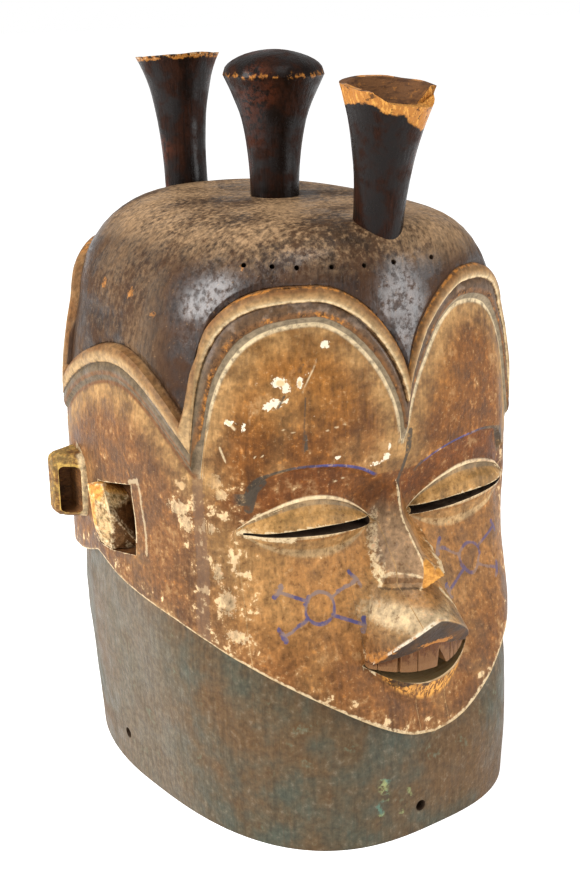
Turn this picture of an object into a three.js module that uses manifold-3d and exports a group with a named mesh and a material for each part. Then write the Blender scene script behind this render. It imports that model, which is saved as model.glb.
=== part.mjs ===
// Janus helmet mask, carved in one block of wood: a hollow head with a face on the front and
// on the back, ears at both sides, and three posts in a row along the top of the head.
// Millimetres, +Z up. The front face looks along -Y, and the rim rests on z = 0.
// Places on the surface are given as (arc, z): arc runs along the widest section from the
// middle of the front face, to the right positive, and z is the height.

import * as THREE from 'three';
import { ConvexGeometry } from 'three/addons/geometries/ConvexGeometry.js';
import { mergeVertices } from 'three/addons/utils/BufferGeometryUtils.js';
import Module from 'manifold-3d';

// Head, driving dimensions
const CROWN = 376;
const SHOULDER = 315;
const WIDEST_LEVEL = 225;
const HALF_WIDTH = [[0, 114], [75, 118.5], [150, 124], [225, 131.9], [290, 124.5], [315, 118.5]];
const HALF_DEPTH = [[0, 156.5], [75, 158], [150, 151.5], [225, 143.5], [290, 140], [315, 136.5]];
const DOME_ROUNDNESS = 1.5;
const DOME_SIDES = 4.25;
const DOME_ENDS = { front: 18, back: 8 };
const SQUARENESS = 2.5;
const RIM_SQUARENESS = { front: 2.8, back: 2.35 };
const RIM_TWIST = 4.8;
const TWIST_REACH = 60;
const TWIST_END = 170;

// Hollow for the wearer's head: half width, half depth and height; its top is a low dome
const HOLLOW_WIDTH = [[0, 90], [75, 96], [150, 100], [225, 106], [290, 101], [346, 92]];
const HOLLOW_DEPTH = [[0, 130], [75, 127], [120, 118], [165, 106], [260, 104], [346, 100]];
const HOLLOW_TOP = 346;
const HOLLOW_DOME = 0.72;
const HOLLOW_SIDES = 26;

// Hairline: two lobes over each face and one over each side, meeting in V points. The curves are
// drawn on even arcs; PLACES says where their V points and side tops really stand.
const V_ARC = 131;
const PLACES = {
  left: [[0, 0], [131, 131], [208, 226], [290, 321], [452, 452]],
  right: [[0, 0], [114, 131], [208, 226], [290, 321], [452, 452]],
};
const FACE_EDGE = {
  foot: 236, middleFoot: 249,
  lobe: { centre: 65, inner: 63.5, outer: 63.5, top: 323.5, innerPower: 1.8, outerPower: 2.75 },
  side: { rise: 40, power: 1.9, half: 91 },
};
const DARK_EDGE = {
  foot: 246, middleFoot: 262,
  lobe: { centre: 66, inner: 67, outer: 70, top: 336, innerPower: 1.9, outerPower: 3.2 },
  side: { rise: 42, power: 1.9, half: 94 },
};
const CREAM_EDGE = {
  foot: 256, middleFoot: 276,
  lobe: { centre: 67, inner: 69, outer: 76, top: 344.5, innerPower: 1.95, outerPower: 3.1 },
  side: { rise: 43, power: 1.9, half: 95 },
};
const BAND_EDGE = 1.2;

// Depths of the carving below or above the head's even surface
const FACE_OUT = [[0, -6], [60, -6], [100, -1], [226, -1.5]];
const DARK_STEP = 2.6;
const CREAM_STEP = 3.6;
const CREAM_BULGE = 2;
const HAIR_GROOVE = -1.4;
const COLLAR_GROOVE = -4;
const GROOVE_REACH = 34;
const HAIR_EDGE = 5;
const BAND_GAP = 3;

// Jaw line, from the chin up to the middle of the side where both faces meet
const JAW = [[0, 67], [20, 71], [42, 82], [73, 102], [113, 124], [150, 140], [200, 151], [226, 160]];
const JAW_PLACES = [[0, 0], [238, 226], [452, 452]];
const JAW_LIFT = [[0, 1], [60, 3], [120, 4], [226, 6]];
const JAW_SPAN = 55;

// Eyes, brows, cheeks and nose of a face
const EYE = { arc: 59, z: 201, slope: 0.065, reach: 47, above: 19, below: 14, bulge: 5 };
const SOCKET = { z: 196, span: 34, depth: 19, reach: 135 };
const SLIT = { inner: 15, outer: 95, wide: 5.5, narrow: 1.4 };
const BROW = { arc: 56, z: 239.5, reach: 62, drop: 22, depth: 2.2, fade: 60 };
const CHEEK = { arc: 58, z: 158, reach: 30, depth: 3 };
const NOSE_BASE = { z: 162.5, drop: 4, half: 21 };
const NOSE_TOP = { z: 224, fade: 8 };
const NOSE_ROUND = [[162.5, 0.6], [190, 0.85], [224, 1]];
const NOSE_RIDGE = [
  [162.5, 7], [168, 12], [172, 14.5], [176, 11.5], [190, -1.5], [201, -10.5], [211, -12.5], [224, -13],
];
const NOSE_HALF = [[160, 20], [174, 20.5], [190, 15.5], [200, 11.5], [211, 7], [224, 4]];

// Mouth: a muzzle, a curved upper lip over a row of teeth, and a chipped lower lip
const MOUTH = {
  half: 41, corner: 120, crest: 30, underside: 12.5, lowerLip: 14.5, lowerEdge: 27,
  crestOut: 32, undersideOut: 17.5, lowerOut: 11.5, lowerEdgeOut: 3, muzzleTop: 172,
  endPower: 0.8, muzzlePower: 0.75, below: 8,
};
const TEETH = {
  front: 166, back: 154, bottom: 115.5, top: 138, half: 35, sweep: 15,
};
const MISSING_TOOTH = { x: 10, wide: 10, high: 13 };

// Ears at the left side; the right side mirrors them. The front face's ear is a pocket, given as
// an outline in [y, z], around a broken stump, given by its corners as [out, y, z]. The back
// face's ear is a cup that opens forward.
const EAR_PLANE = -130;
const POCKET = { outline: [[-36, 216], [0, 209], [4, 172], [-10, 168], [-36, 175]], depth: 12 };
const STUMP = [
  [-15, -35, 174], [-15, -35, 202], [-15, 16, 203], [-15, 14, 170], [-10, -34, 202], [-10, -34, 178],
  [5, -20, 197], [6.5, 13, 207], [2, -7, 203.5], [6, 4, 190], [5, 0, 173], [2, -9, 168],
];
const BACK_EAR = { front: 27, back: 50, bottom: 179, top: 219, out: 16, rim: 4, deep: 17 };

// Posts on the crown, from the back to the front, flaring by a power of their height
const POST_X = -3.7;
const POSTS = [
  { y: 115.6, z: 367, lean: 5.3, height: 90, neck: 14.6, flare: 28.5, power: 3, cap: 0 },
  { y: -1.7, z: 375, lean: 0, height: 74.5, neck: 15.4, flare: 31.5, power: 2.6, cap: 15 },
  {
    y: -112.7, z: 370.5, lean: -7.6, height: 80.5, neck: 14.2, flare: 27.5, power: 2, cap: 0,
    broken: true,
  },
];
const POST_ROOT = 12;
const POST_STEPS = [0, 0.3, 0.55, 0.72, 0.86, 0.95, 1];
const CAP_STEPS = [[0.86, 0.42], [0.58, 0.8], [0.26, 0.97], [0, 1]];
const POST_SIDES = 12;
const CUP_WALL = 4;
const CUP_DEPTH = 14;
const RIM_BREAK = [
  [-25, 6], [-22, -1], [-14, -6], [4, -8], [17, -9.5], [24, -5], [28, 3], [28, 20], [-25, 20],
];

// Holes for the costume near the rim
const COSTUME_HOLE = { radius: 3.7, length: 60, z: 18, sideZ: 24, sideY: 14 };

// Fineness of the carved surface: even arcs of the columns, and shares of the dome's rings
const COLUMN_ARCS = [
  0, 5, 11, 17, 24, 32, 40, 49, 60, 71, 82, 92, 101, 109, 116, 122, 126.5, 131, 135.5, 141, 149,
  160, 175, 191, 208, 226,
];
const DOME_RINGS = [0.86, 0.68, 0.4];
const ROWS_REACH = { nose: 30, eye: 95, fade: 32 };
const ROWS_APART = 0.9;
const COLLAR_ROWS = { share: 0.55, below: 10 };

const QUARTER = COLUMN_ARCS[COLUMN_ARCS.length - 1];
const wasm = await Module();
wasm.setup();

// Plain helpers for shaping

const clamp = (x, low = 0, high = 1) => Math.min(Math.max(x, low), high);
const mix = (a, b, t) => a + (b - a) * t;
const ease = (x) => {
  const t = clamp(x);
  return t * t * (3 - 2 * t);
};
const hill = (x) => Math.exp(-x * x);

// A smooth curve through stations [at, value], level beyond the first and the last
function through(stations) {
  const slopes = stations.map((station, i) => {
    const before = stations[Math.max(i - 1, 0)];
    const after = stations[Math.min(i + 1, stations.length - 1)];
    return (after[1] - before[1]) / (after[0] - before[0]);
  });
  return (at) => {
    const x = clamp(at, stations[0][0], stations[stations.length - 1][0]);
    let i = 0;
    while (i < stations.length - 2 && x > stations[i + 1][0]) i += 1;
    const [x0, y0] = stations[i];
    const [x1, y1] = stations[i + 1];
    const w = x1 - x0;
    const t = (x - x0) / w;
    const blend = t * t * (3 - 2 * t);
    return mix(y0, y1, blend) + w * t * (1 - t) * ((1 - t) * slopes[i] - t * slopes[i + 1]);
  };
}

const halfWidthAt = through(HALF_WIDTH);
const halfDepthAt = through(HALF_DEPTH);
const jawStations = through(JAW);
const jawLiftAt = through(JAW_LIFT);
const faceOutAt = through(FACE_OUT);
const noseRidgeAt = through(NOSE_RIDGE);
const noseHalfAt = through(NOSE_HALF);
const noseRoundAt = through(NOSE_ROUND);
const hollowWidthAt = through(HOLLOW_WIDTH);
const hollowDepthAt = through(HOLLOW_DEPTH);

// A broken line through [at, value] pairs
function along(pairs, at) {
  const next = Math.max(pairs.findIndex(([place]) => place >= at), 1);
  const [[x0, y0], [x1, y1]] = [pairs[next - 1], pairs[next]];
  return mix(y0, y1, (at - x0) / (x1 - x0));
}

// The plain head

// Half width and half depth of the level section at a height, in the front or the back half
function section(z, half = 'front') {
  const t = clamp((z - SHOULDER) / (CROWN - SHOULDER));
  const left = 1 - t ** DOME_ROUNDNESS;
  return {
    width: halfWidthAt(z) * left ** (1 / DOME_SIDES),
    depth: halfDepthAt(z) * left ** (1 / DOME_ENDS[half]),
  };
}

// Directions of the widest section, found by walking its quarter arc once
const ARC_STEPS = 900;
const arcTable = [];
{
  const { width, depth } = section(WIDEST_LEVEL);
  let length = 0;
  let previous = null;
  for (let i = 0; i <= ARC_STEPS; i += 1) {
    const turn = (i / ARC_STEPS) * Math.PI / 2;
    const across = Math.sin(turn) ** (2 / SQUARENESS);
    const ahead = Math.cos(turn) ** (2 / SQUARENESS);
    const point = [width * across, depth * ahead];
    if (previous) length += Math.hypot(point[0] - previous[0], point[1] - previous[1]);
    arcTable.push({ length, across, ahead });
    previous = point;
  }
}

function directionAt(arc) {
  const target = clamp(arc / QUARTER) * arcTable[ARC_STEPS].length;
  let low = 0;
  let high = ARC_STEPS;
  while (high - low > 1) {
    const middle = (low + high) >> 1;
    if (arcTable[middle].length > target) high = middle;
    else low = middle;
  }
  const a = arcTable[low];
  const b = arcTable[high];
  const t = (target - a.length) / (b.length - a.length);
  return [mix(a.across, b.across, t), mix(a.ahead, b.ahead, t)];
}

// Half a turn of arc reaches from the middle of the front face to the middle of the back one
const foldArc = (arc) => (Math.abs(arc) > QUARTER ? 2 * QUARTER - Math.abs(arc) : Math.abs(arc));

// A point on the head at an arc and a height, pushed outwards by an amount. Towards the rim the
// section turns a little, most of all in its front half, which also grows squarer.
function headPoint(arc, z, out) {
  const half = Math.abs(arc) > QUARTER ? 'back' : 'front';
  const { width, depth } = section(z, half);
  const [across, ahead] = directionAt(foldArc(arc));
  const rimShare = 1 - ease(z / TWIST_END);
  const power = mix(SQUARENESS, RIM_SQUARENESS[half], rimShare);
  const even = (across ** power + ahead ** power) ** (-1 / power);
  const slopeX = across ** (power - 1) * depth;
  const slopeY = ahead ** (power - 1) * width;
  const steep = Math.hypot(slopeX, slopeY) || 1;
  const x = (Math.sign(arc) || 1) * (width * across * even + (out * slopeX) / steep);
  const y = (half === 'back' ? 1 : -1) * (depth * ahead * even + (out * slopeY) / steep);
  const twist = THREE.MathUtils.degToRad(RIM_TWIST) * rimShare;
  const reached = y < 0 ? y : y / (1 + y / TWIST_REACH);
  return [
    x * Math.cos(twist) - reached * Math.sin(twist),
    x * Math.sin(twist) + y * Math.cos(twist),
    z,
  ];
}

// Jaw line and hairline curves

const jawAt = (arc) => jawStations(foldArc(along(JAW_PLACES, Math.abs(arc))));

// The height of one hairline curve at an even arc: the highest of its lobe over the face, its
// lobe over the side, and the foot of the V between them
function curveHeight(curve, even) {
  const a = foldArc(even);
  const { centre, inner, outer, top, innerPower, outerPower } = curve.lobe;
  const [half, power, foot] = a < centre
    ? [inner, innerPower, mix(curve.middleFoot, curve.foot, a / centre)]
    : [outer, outerPower, curve.foot];
  const across = clamp(Math.abs(a - centre) / half);
  const front = foot + (top - foot) * (1 - across ** power) ** (1 / power);
  const aside = clamp((QUARTER - a) / curve.side.half);
  const side = curve.foot + curve.side.rise * (1 - aside ** curve.side.power);
  return Math.max(front, side);
}

// The even arc of a place on the head, and the place of an even arc
const placesOf = (arc) => (arc < 0 ? PLACES.left : PLACES.right);
const evenArc = (arc) => along(placesOf(arc), Math.abs(arc));
const placeOf = (even) => {
  const back = placesOf(even).map(([place, value]) => [value, place]);
  return (Math.sign(even) || 1) * along(back, Math.abs(even));
};

// Heights of the face's edge, the dark band's top and the cream band's top
function hairline(arc) {
  const even = evenArc(arc);
  const face = curveHeight(FACE_EDGE, even);
  const dark = Math.max(curveHeight(DARK_EDGE, even), face + BAND_GAP);
  return { face, dark, cream: Math.max(curveHeight(CREAM_EDGE, even), dark + BAND_GAP) };
}

// Relief of a face: how far its surface stands out from the plain head

const eyeLine = (a) => EYE.z + EYE.slope * (a - EYE.arc);

function eyeRelief(a, z) {
  const u = (a - EYE.arc) / EYE.reach;
  if (Math.abs(u) >= 1) return 0;
  const open = 1 - u * u;
  const above = z - eyeLine(a);
  const v = above / (open * (above > 0 ? EYE.above : EYE.below));
  return Math.abs(v) < 1 ? EYE.bulge * (1 - v * v) * Math.sqrt(open) : 0;
}

const browLine = (a) => BROW.z - BROW.drop * clamp((a - BROW.arc) / BROW.reach, -1, 1) ** 2;

function browRelief(a, z) {
  const across = clamp((BROW.z - browLine(a)) / BROW.drop);
  const below = browLine(a) - z;
  return below > 0 ? -BROW.depth * (1 - across) * (1 - ease(below / BROW.fade)) : 0;
}

// How much of the nose's height, from the face to the ridge, stands at a place
const noseBase = (a) => NOSE_BASE.z - NOSE_BASE.drop * clamp(a / NOSE_BASE.half) ** 2;

function noseShare(a, z) {
  if (z < noseBase(a)) return 0;
  const fading = ease((z - NOSE_TOP.z) / NOSE_TOP.fade + 1);
  return clamp(1 - a / noseHalfAt(z)) ** noseRoundAt(z) * (1 - fading);
}

const mouthCurve = (a, rise) => MOUTH.corner + rise * (1 - clamp(a / MOUTH.half) ** 2);

function mouthRelief(a, z) {
  const full = clamp(1 - (a / MOUTH.half) ** 2) ** MOUTH.endPower;
  const levels = [
    [mouthCurve(a, -MOUTH.lowerEdge) - MOUTH.below * full, 0],
    [mouthCurve(a, -MOUTH.lowerEdge), MOUTH.lowerEdgeOut * full],
    [mouthCurve(a, -MOUTH.lowerLip), MOUTH.lowerOut * full],
    [mouthCurve(a, MOUTH.underside), MOUTH.undersideOut * full],
    [mouthCurve(a, MOUTH.crest), MOUTH.crestOut * full],
  ];
  if (full === 0 || z < levels[0][0]) return 0;
  const crest = mouthCurve(a, MOUTH.crest);
  if (z > crest) {
    const left = clamp((MOUTH.muzzleTop - z) / (MOUTH.muzzleTop - crest));
    return MOUTH.crestOut * full * left ** MOUTH.muzzlePower;
  }
  return along(levels, z);
}

function faceRelief(arc, z) {
  const a = foldArc(arc);
  let out = mix(jawLiftAt(a), faceOutAt(a), ease((z - jawAt(arc)) / JAW_SPAN));
  out -= SOCKET.depth * hill((z - SOCKET.z) / SOCKET.span) * (1 - ease(a / SOCKET.reach));
  out -= CHEEK.depth * hill((a - CHEEK.arc) / CHEEK.reach) * hill((z - CHEEK.z) / CHEEK.reach);
  out += browRelief(a, z) + eyeRelief(a, z);
  const nose = mix(out, Math.max(noseRidgeAt(z), out), noseShare(a, z));
  return Math.max(nose, out + mouthRelief(a, z));
}

function relief(arc, z) {
  const a = foldArc(arc);
  const jaw = jawAt(arc);
  const { face, dark, cream } = hairline(arc);
  if (z < jaw) return COLLAR_GROOVE * ease(1 - (jaw - z) / GROOVE_REACH) * (1 - a / QUARTER / 2);
  if (z < face) return faceRelief(arc, z);
  if (z < dark) return faceOutAt(a) + DARK_STEP;
  if (z < cream) {
    const across = Math.sin((Math.PI * (z - dark)) / (cream - dark));
    return Math.max(faceOutAt(a) + CREAM_STEP, -1) + CREAM_BULGE * across;
  }
  return HAIR_GROOVE * (1 - ease((z - cream) / HAIR_EDGE));
}

// Heights of the rows of the carved surface at an arc. The rows follow the carved lines of the
// face in front, each as far as its feature reaches, and run evenly at the sides.
function faceRows(arc, bottom, top) {
  const a = foldArc(arc);
  const open = 1 - clamp((a - EYE.arc) / EYE.reach, -1, 1) ** 2;
  const brow = browLine(a);
  const eye = eyeLine(a);
  const mouth = (rise) => [mouthCurve(a, rise), MOUTH.half];
  const nose = (z) => [z, ROWS_REACH.nose];
  const upper = (z) => [z, ROWS_REACH.eye];
  const carved = [
    [mix(bottom, mouthCurve(a, -MOUTH.lowerEdge), 0.5), MOUTH.half],
    mouth(-MOUTH.lowerEdge),
    mouth(-MOUTH.lowerLip),
    mouth(MOUTH.underside),
    mouth(MOUTH.crest),
    [mix(mouthCurve(a, MOUTH.crest), NOSE_BASE.z, 0.5), MOUTH.half],
    nose(noseBase(a) - 0.6),
    nose(noseBase(a) + 0.6),
    nose(NOSE_BASE.z + 9),
    upper(eye - EYE.below * open - 1),
    upper(eye - EYE.below * open * 0.5),
    upper(eye),
    upper(eye + EYE.above * open * 0.5),
    upper(eye + EYE.above * open + 1),
    upper(brow),
    upper(mix(brow, top, 0.4)),
    upper(mix(brow, top, 0.8)),
  ];
  const count = carved.length;
  const rows = carved.map(([z, reach], i) => {
    const even = mix(bottom, top, (i + 1) / (count + 1));
    return mix(z, even, ease((a - reach) / ROWS_REACH.fade));
  });
  const gap = ROWS_APART;
  for (let i = 0; i < count; i += 1) rows[i] = Math.max(rows[i], (i ? rows[i - 1] : bottom) + gap);
  for (let i = count - 1; i >= 0; i -= 1) {
    rows[i] = Math.min(rows[i], (i < count - 1 ? rows[i + 1] : top) - gap);
  }
  return rows;
}

function rowsAt(arc) {
  const jaw = jawAt(arc);
  const { face, dark, cream } = hairline(arc);
  const domeHeight = (share) => (
    SHOULDER + (CROWN - SHOULDER) * (1 - share ** DOME_SIDES) ** (1 / DOME_ROUNDNESS)
  );
  const [firstDome, ...dome] = DOME_RINGS.map(domeHeight);
  const hair = Math.min(cream + 4, firstDome - 2);
  const edge = BAND_EDGE / 2;
  return [
    0,
    jaw * COLLAR_ROWS.share,
    jaw - COLLAR_ROWS.below,
    jaw - edge,
    jaw + edge,
    ...faceRows(arc, jaw + edge, face - edge),
    face - edge,
    face + edge,
    dark - edge,
    dark + edge,
    mix(dark, cream, 0.5),
    cream,
    hair,
    mix(hair, firstDome, 0.55),
    firstDome,
    ...dome,
  ];
}

// Solids and booleans

function solidOf(geometry) {
  const bare = geometry.clone();
  bare.deleteAttribute('normal');
  bare.deleteAttribute('uv');
  const merged = mergeVertices(bare, 1e-4);
  return new wasm.Manifold(new wasm.Mesh({
    numProp: 3,
    vertProperties: new Float32Array(merged.attributes.position.array),
    triVerts: new Uint32Array(merged.index.array),
  }));
}

// A closed skin over rings of points: each ring has the same number of points, the first ring
// is closed flat and the last one by a single point
function skin(rings, tip, floor) {
  const count = rings[0].length;
  const positions = [...rings.flat(), tip, floor].flat();
  const tipIndex = rings.length * count;
  const faces = [];
  for (let j = 0; j < count; j += 1) {
    const next = (j + 1) % count;
    faces.push(tipIndex + 1, next, j);
    faces.push(tipIndex, (rings.length - 1) * count + j, (rings.length - 1) * count + next);
    for (let i = 0; i + 1 < rings.length; i += 1) {
      const [a, b] = [i * count + j, i * count + next];
      faces.push(a, b, b + count, a, b + count, a + count);
    }
  }
  const geometry = new THREE.BufferGeometry();
  geometry.setAttribute('position', new THREE.Float32BufferAttribute(positions, 3));
  geometry.setIndex(faces);
  return geometry;
}

function carvedHead() {
  const arcs = [
    ...COLUMN_ARCS,
    ...COLUMN_ARCS.slice(0, -1).reverse().map((a) => 2 * QUARTER - a),
  ];
  const columns = [...arcs, ...arcs.slice(1, -1).reverse().map((a) => -a)].map(placeOf);
  const rows = columns.map(rowsAt);
  const rings = rows[0].map((row, i) => columns.map((arc, j) => {
    const z = rows[j][i];
    return headPoint(arc, z, relief(arc, z));
  }));
  return solidOf(skin(rings, [0, 0, CROWN], [0, 0, 0]));
}

// The hollow for the wearer's head, open below
function hollow() {
  const steps = [0, 0.2, 0.4, 0.6, 0.78, 0.9, 0.97];
  const rings = [-5, ...steps.map((share) => share * HOLLOW_TOP)].map((z) => {
    const high = clamp((z / HOLLOW_TOP - HOLLOW_DOME) / (1 - HOLLOW_DOME));
    const shrink = Math.sqrt(1 - (0.94 * high) ** 2);
    const power = 2 / SQUARENESS;
    return Array.from({ length: HOLLOW_SIDES }, (_, i) => {
      const turn = (i / HOLLOW_SIDES) * 2 * Math.PI;
      const x = Math.sign(Math.cos(turn)) * Math.abs(Math.cos(turn)) ** power;
      const y = Math.sign(Math.sin(turn)) * Math.abs(Math.sin(turn)) ** power;
      return [hollowWidthAt(z) * x * shrink, hollowDepthAt(z) * y * shrink, z];
    });
  });
  return solidOf(skin(rings, [0, 0, HOLLOW_TOP], [0, 0, -5]));
}

// A flat outline in X and Z, made thick along Y from the front to the back
function slab(points, front, back) {
  const shape = new THREE.Shape(points.map(([x, z]) => new THREE.Vector2(x, z)));
  const geometry = new THREE.ExtrudeGeometry(shape, { depth: back - front, bevelEnabled: false });
  geometry.rotateX(Math.PI / 2);
  geometry.translate(0, back, 0);
  return solidOf(geometry);
}

// The outline of a lens between two corners, with its own rise above and below
function lens(centre, half, above, below, count) {
  const points = [];
  for (let i = 0; i <= count; i += 1) {
    const u = -1 + (2 * i) / count;
    points.push([centre[0] + half * u, centre[1] - below * (1 - u * u)]);
  }
  for (let i = count - 1; i > 0; i -= 1) {
    const u = -1 + (2 * i) / count;
    points.push([centre[0] + half * u, centre[1] + above * (1 - u * u)]);
  }
  return points;
}

// Openings of one face, made for the front one and turned for the back one

function eyeSlit(side) {
  const { inner, outer, wide, narrow } = SLIT;
  const middle = mix(inner, outer, 0.4);
  const points = [
    [outer, eyeLine(outer) + narrow / 2],
    [middle, eyeLine(middle) + wide / 2],
    [inner, eyeLine(inner) + wide / 2],
    [inner, eyeLine(inner) - wide / 2],
    [middle, eyeLine(middle) - wide / 2],
    [outer, eyeLine(outer) - narrow / 2],
  ].map(([x, z]) => [side * x, z]);
  return slab(side < 0 ? points.reverse() : points, -180, -50);
}

function mouthOpening() {
  const half = MOUTH.half - 4;
  return slab(lens([0, MOUTH.corner], half, MOUTH.underside, MOUTH.lowerLip, 10), -200, -100);
}

function teeth() {
  const shape = new THREE.Shape();
  const steps = 8;
  for (let i = 0; i <= steps; i += 1) {
    const u = -1 + (2 * i) / steps;
    shape[i ? 'lineTo' : 'moveTo'](TEETH.half * u, TEETH.front - TEETH.sweep * u * u);
  }
  for (let i = steps; i >= 0; i -= 1) {
    const u = -1 + (2 * i) / steps;
    shape.lineTo(TEETH.half * u, TEETH.back - TEETH.sweep * u * u);
  }
  const depth = TEETH.top - TEETH.bottom;
  const geometry = new THREE.ExtrudeGeometry(shape, { depth, bevelEnabled: false });
  geometry.translate(0, 0, TEETH.bottom);
  geometry.rotateZ(Math.PI);
  const { x, wide, high } = MISSING_TOOTH;
  const missing = slab([
    [x - wide / 2, TEETH.bottom - 3],
    [x + wide / 2, TEETH.bottom - 3],
    [x, TEETH.bottom + high],
  ], -190, -120);
  const roots = lens([0, MOUTH.corner], MOUTH.half - 3, MOUTH.underside + 3, 4, 10);
  return solidOf(geometry).intersect(slab(roots, -190, -120)).subtract(missing);
}

// Ears of the left side, front and back

// A prism on an outline in X and Y, standing between two heights
function upright(points, bottom, top) {
  const shape = new THREE.Shape(points.map(([x, y]) => new THREE.Vector2(x, y)));
  const geometry = new THREE.ExtrudeGeometry(shape, { depth: top - bottom, bevelEnabled: false });
  geometry.translate(0, 0, bottom);
  return solidOf(geometry);
}

// A prism on an outline in Y and Z, lying between two places along X
function sideways(points, left, right) {
  const shape = new THREE.Shape(points.map(([y, z]) => new THREE.Vector2(y, z)));
  const geometry = new THREE.ExtrudeGeometry(shape, { depth: right - left, bevelEnabled: false });
  geometry.rotateX(Math.PI / 2);
  geometry.rotateZ(Math.PI / 2);
  geometry.translate(left, 0, 0);
  return solidOf(geometry);
}

function frontEar(head) {
  const pocket = sideways(POCKET.outline, EAR_PLANE - 30, EAR_PLANE + POCKET.depth);
  const corners = STUMP.map(([out, y, z]) => new THREE.Vector3(EAR_PLANE - out, y, z));
  return head.subtract(pocket).add(solidOf(new ConvexGeometry(corners)));
}

function backEar(head) {
  const { front, back, bottom, top, out, rim, deep } = BACK_EAR;
  const block = upright([
    [EAR_PLANE + 12, front - 4],
    [EAR_PLANE - 2, front - 3],
    [EAR_PLANE - out + 3, front],
    [EAR_PLANE - out, front + 3],
    [EAR_PLANE - out + 2, back],
    [EAR_PLANE + 12, back + 12],
  ], bottom, top);
  const cup = upright([
    [EAR_PLANE + 2, front + deep],
    [EAR_PLANE - out + rim + 1, front + deep],
    [EAR_PLANE - out + rim - 0.5, front - 10],
    [EAR_PLANE - 2, front - 10],
  ], bottom + rim, top - rim - 2);
  return head.add(block).subtract(cup);
}

// A post: a round shaft that flares to its top, with a hollow cup or, with a cap, a low dome
function post({ y, z, lean, height, neck, flare, power, cap, broken }) {
  const shaft = POST_STEPS.map((share) => [neck + (flare - neck) * share ** power, share * height]);
  const outline = [[0, -POST_ROOT], [neck, -POST_ROOT], ...shaft];
  if (cap) {
    outline.push(...CAP_STEPS.map(([across, high]) => [flare * across, height + cap * high]));
  } else {
    outline.push([flare - CUP_WALL, height], [flare * 0.5, height - CUP_DEPTH]);
    outline.push([0, height - CUP_DEPTH - 2]);
  }
  const geometry = new THREE.LatheGeometry(
    outline.map(([radius, level]) => new THREE.Vector2(radius, level)),
    POST_SIDES,
  );
  geometry.rotateX(Math.PI / 2);
  const whole = solidOf(geometry);
  const scoop = slab(RIM_BREAK.map(([x, up]) => [x, height + up]), -flare * 2, -flare * 0.3);
  const shape = broken ? whole.subtract(scoop) : whole;
  return shape.rotate([-lean, 0, 0]).translate([POST_X, y, z]);
}

// A hole through the wall near the rim, along X at a side or along Y at an end
function costumeHole(x, y, z) {
  const { radius, length } = COSTUME_HOLE;
  const geometry = new THREE.CylinderGeometry(radius, radius, length, 8);
  if (x) geometry.rotateZ(Math.PI / 2);
  geometry.translate(x, y, z);
  return solidOf(geometry);
}

function helmetMask() {
  let mask = carvedHead();
  for (let side = 0; side < 2; side += 1) mask = backEar(frontEar(mask)).mirror([1, 0, 0]);
  for (const shape of POSTS) mask = mask.add(post(shape));
  mask = mask.subtract(hollow());
  for (const turn of [0, 180]) {
    for (const side of [-1, 1]) mask = mask.subtract(eyeSlit(side).rotate([0, 0, turn]));
    mask = mask.subtract(mouthOpening().rotate([0, 0, turn]));
    mask = mask.add(teeth().rotate([0, 0, turn]));
  }
  const { width, depth } = section(COSTUME_HOLE.z);
  const { z, sideZ, sideY } = COSTUME_HOLE;
  for (const end of [-1, 1]) {
    mask = mask.subtract(costumeHole(0, end * depth, z));
    mask = mask.subtract(costumeHole(end * width, -end * sideY, sideZ));
  }
  return mask;
}

function geometryOf(solid) {
  const mesh = solid.getMesh();
  const geometry = new THREE.BufferGeometry();
  geometry.setAttribute('position', new THREE.BufferAttribute(mesh.vertProperties, 3));
  geometry.setIndex(new THREE.BufferAttribute(mesh.triVerts, 1));
  geometry.computeVertexNormals();
  return geometry;
}

const carvedWood = new THREE.MeshStandardMaterial({ color: 0x6b4a2c, roughness: 0.62, metalness: 0 });
const mask = new THREE.Mesh(geometryOf(helmetMask()), carvedWood);
mask.name = 'helmet_mask';

const part = new THREE.Group();
part.add(mask);

export default part;
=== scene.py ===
# Janus helmet mask: one carved and painted block of wood. The head is a fine skin that follows the
# carving, cut open for the wearer's head, the eyes and the mouths, and joined with the ears, the
# teeth and the three black posts. Shapes are worked out in millimetres, +Z up, with the front
# face looking along -Y, and become metres when a mesh is made.
# Places on the head are given as (arc, z): arc runs along the widest section from the middle of
# the front face, to the right positive, and z is the height.

import math

import bmesh
import bpy
import numpy as np
from mathutils import Matrix, Vector, noise
from mathutils.kdtree import KDTree


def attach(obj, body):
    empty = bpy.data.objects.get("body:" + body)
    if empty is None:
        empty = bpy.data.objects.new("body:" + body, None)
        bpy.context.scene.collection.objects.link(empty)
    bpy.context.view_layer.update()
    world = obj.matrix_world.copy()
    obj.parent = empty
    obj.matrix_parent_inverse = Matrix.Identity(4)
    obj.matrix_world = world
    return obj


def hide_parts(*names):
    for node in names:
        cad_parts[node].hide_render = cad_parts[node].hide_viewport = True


MM = 0.001

# Head
CROWN = 376
SHOULDER = 315
WIDEST_LEVEL = 225
HALF_WIDTH = [(0, 114), (75, 118.5), (150, 124), (225, 131.9), (290, 124.5), (315, 118.5)]
HALF_DEPTH = [(0, 156.5), (75, 158), (150, 151.5), (225, 143.5), (290, 140), (315, 136.5)]
DOME_ROUNDNESS = 1.5
DOME_SIDES = 4.25
DOME_ENDS = {"front": 18, "back": 8}
SQUARENESS = 2.5
RIM_SQUARENESS = {"front": 2.8, "back": 2.35}
RIM_TWIST = math.radians(4.8)
TWIST_REACH = 60
TWIST_END = 170
QUARTER = 226

# How far the crests of the lips may reach to the front and the back
FURTHEST = 174.2

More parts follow.
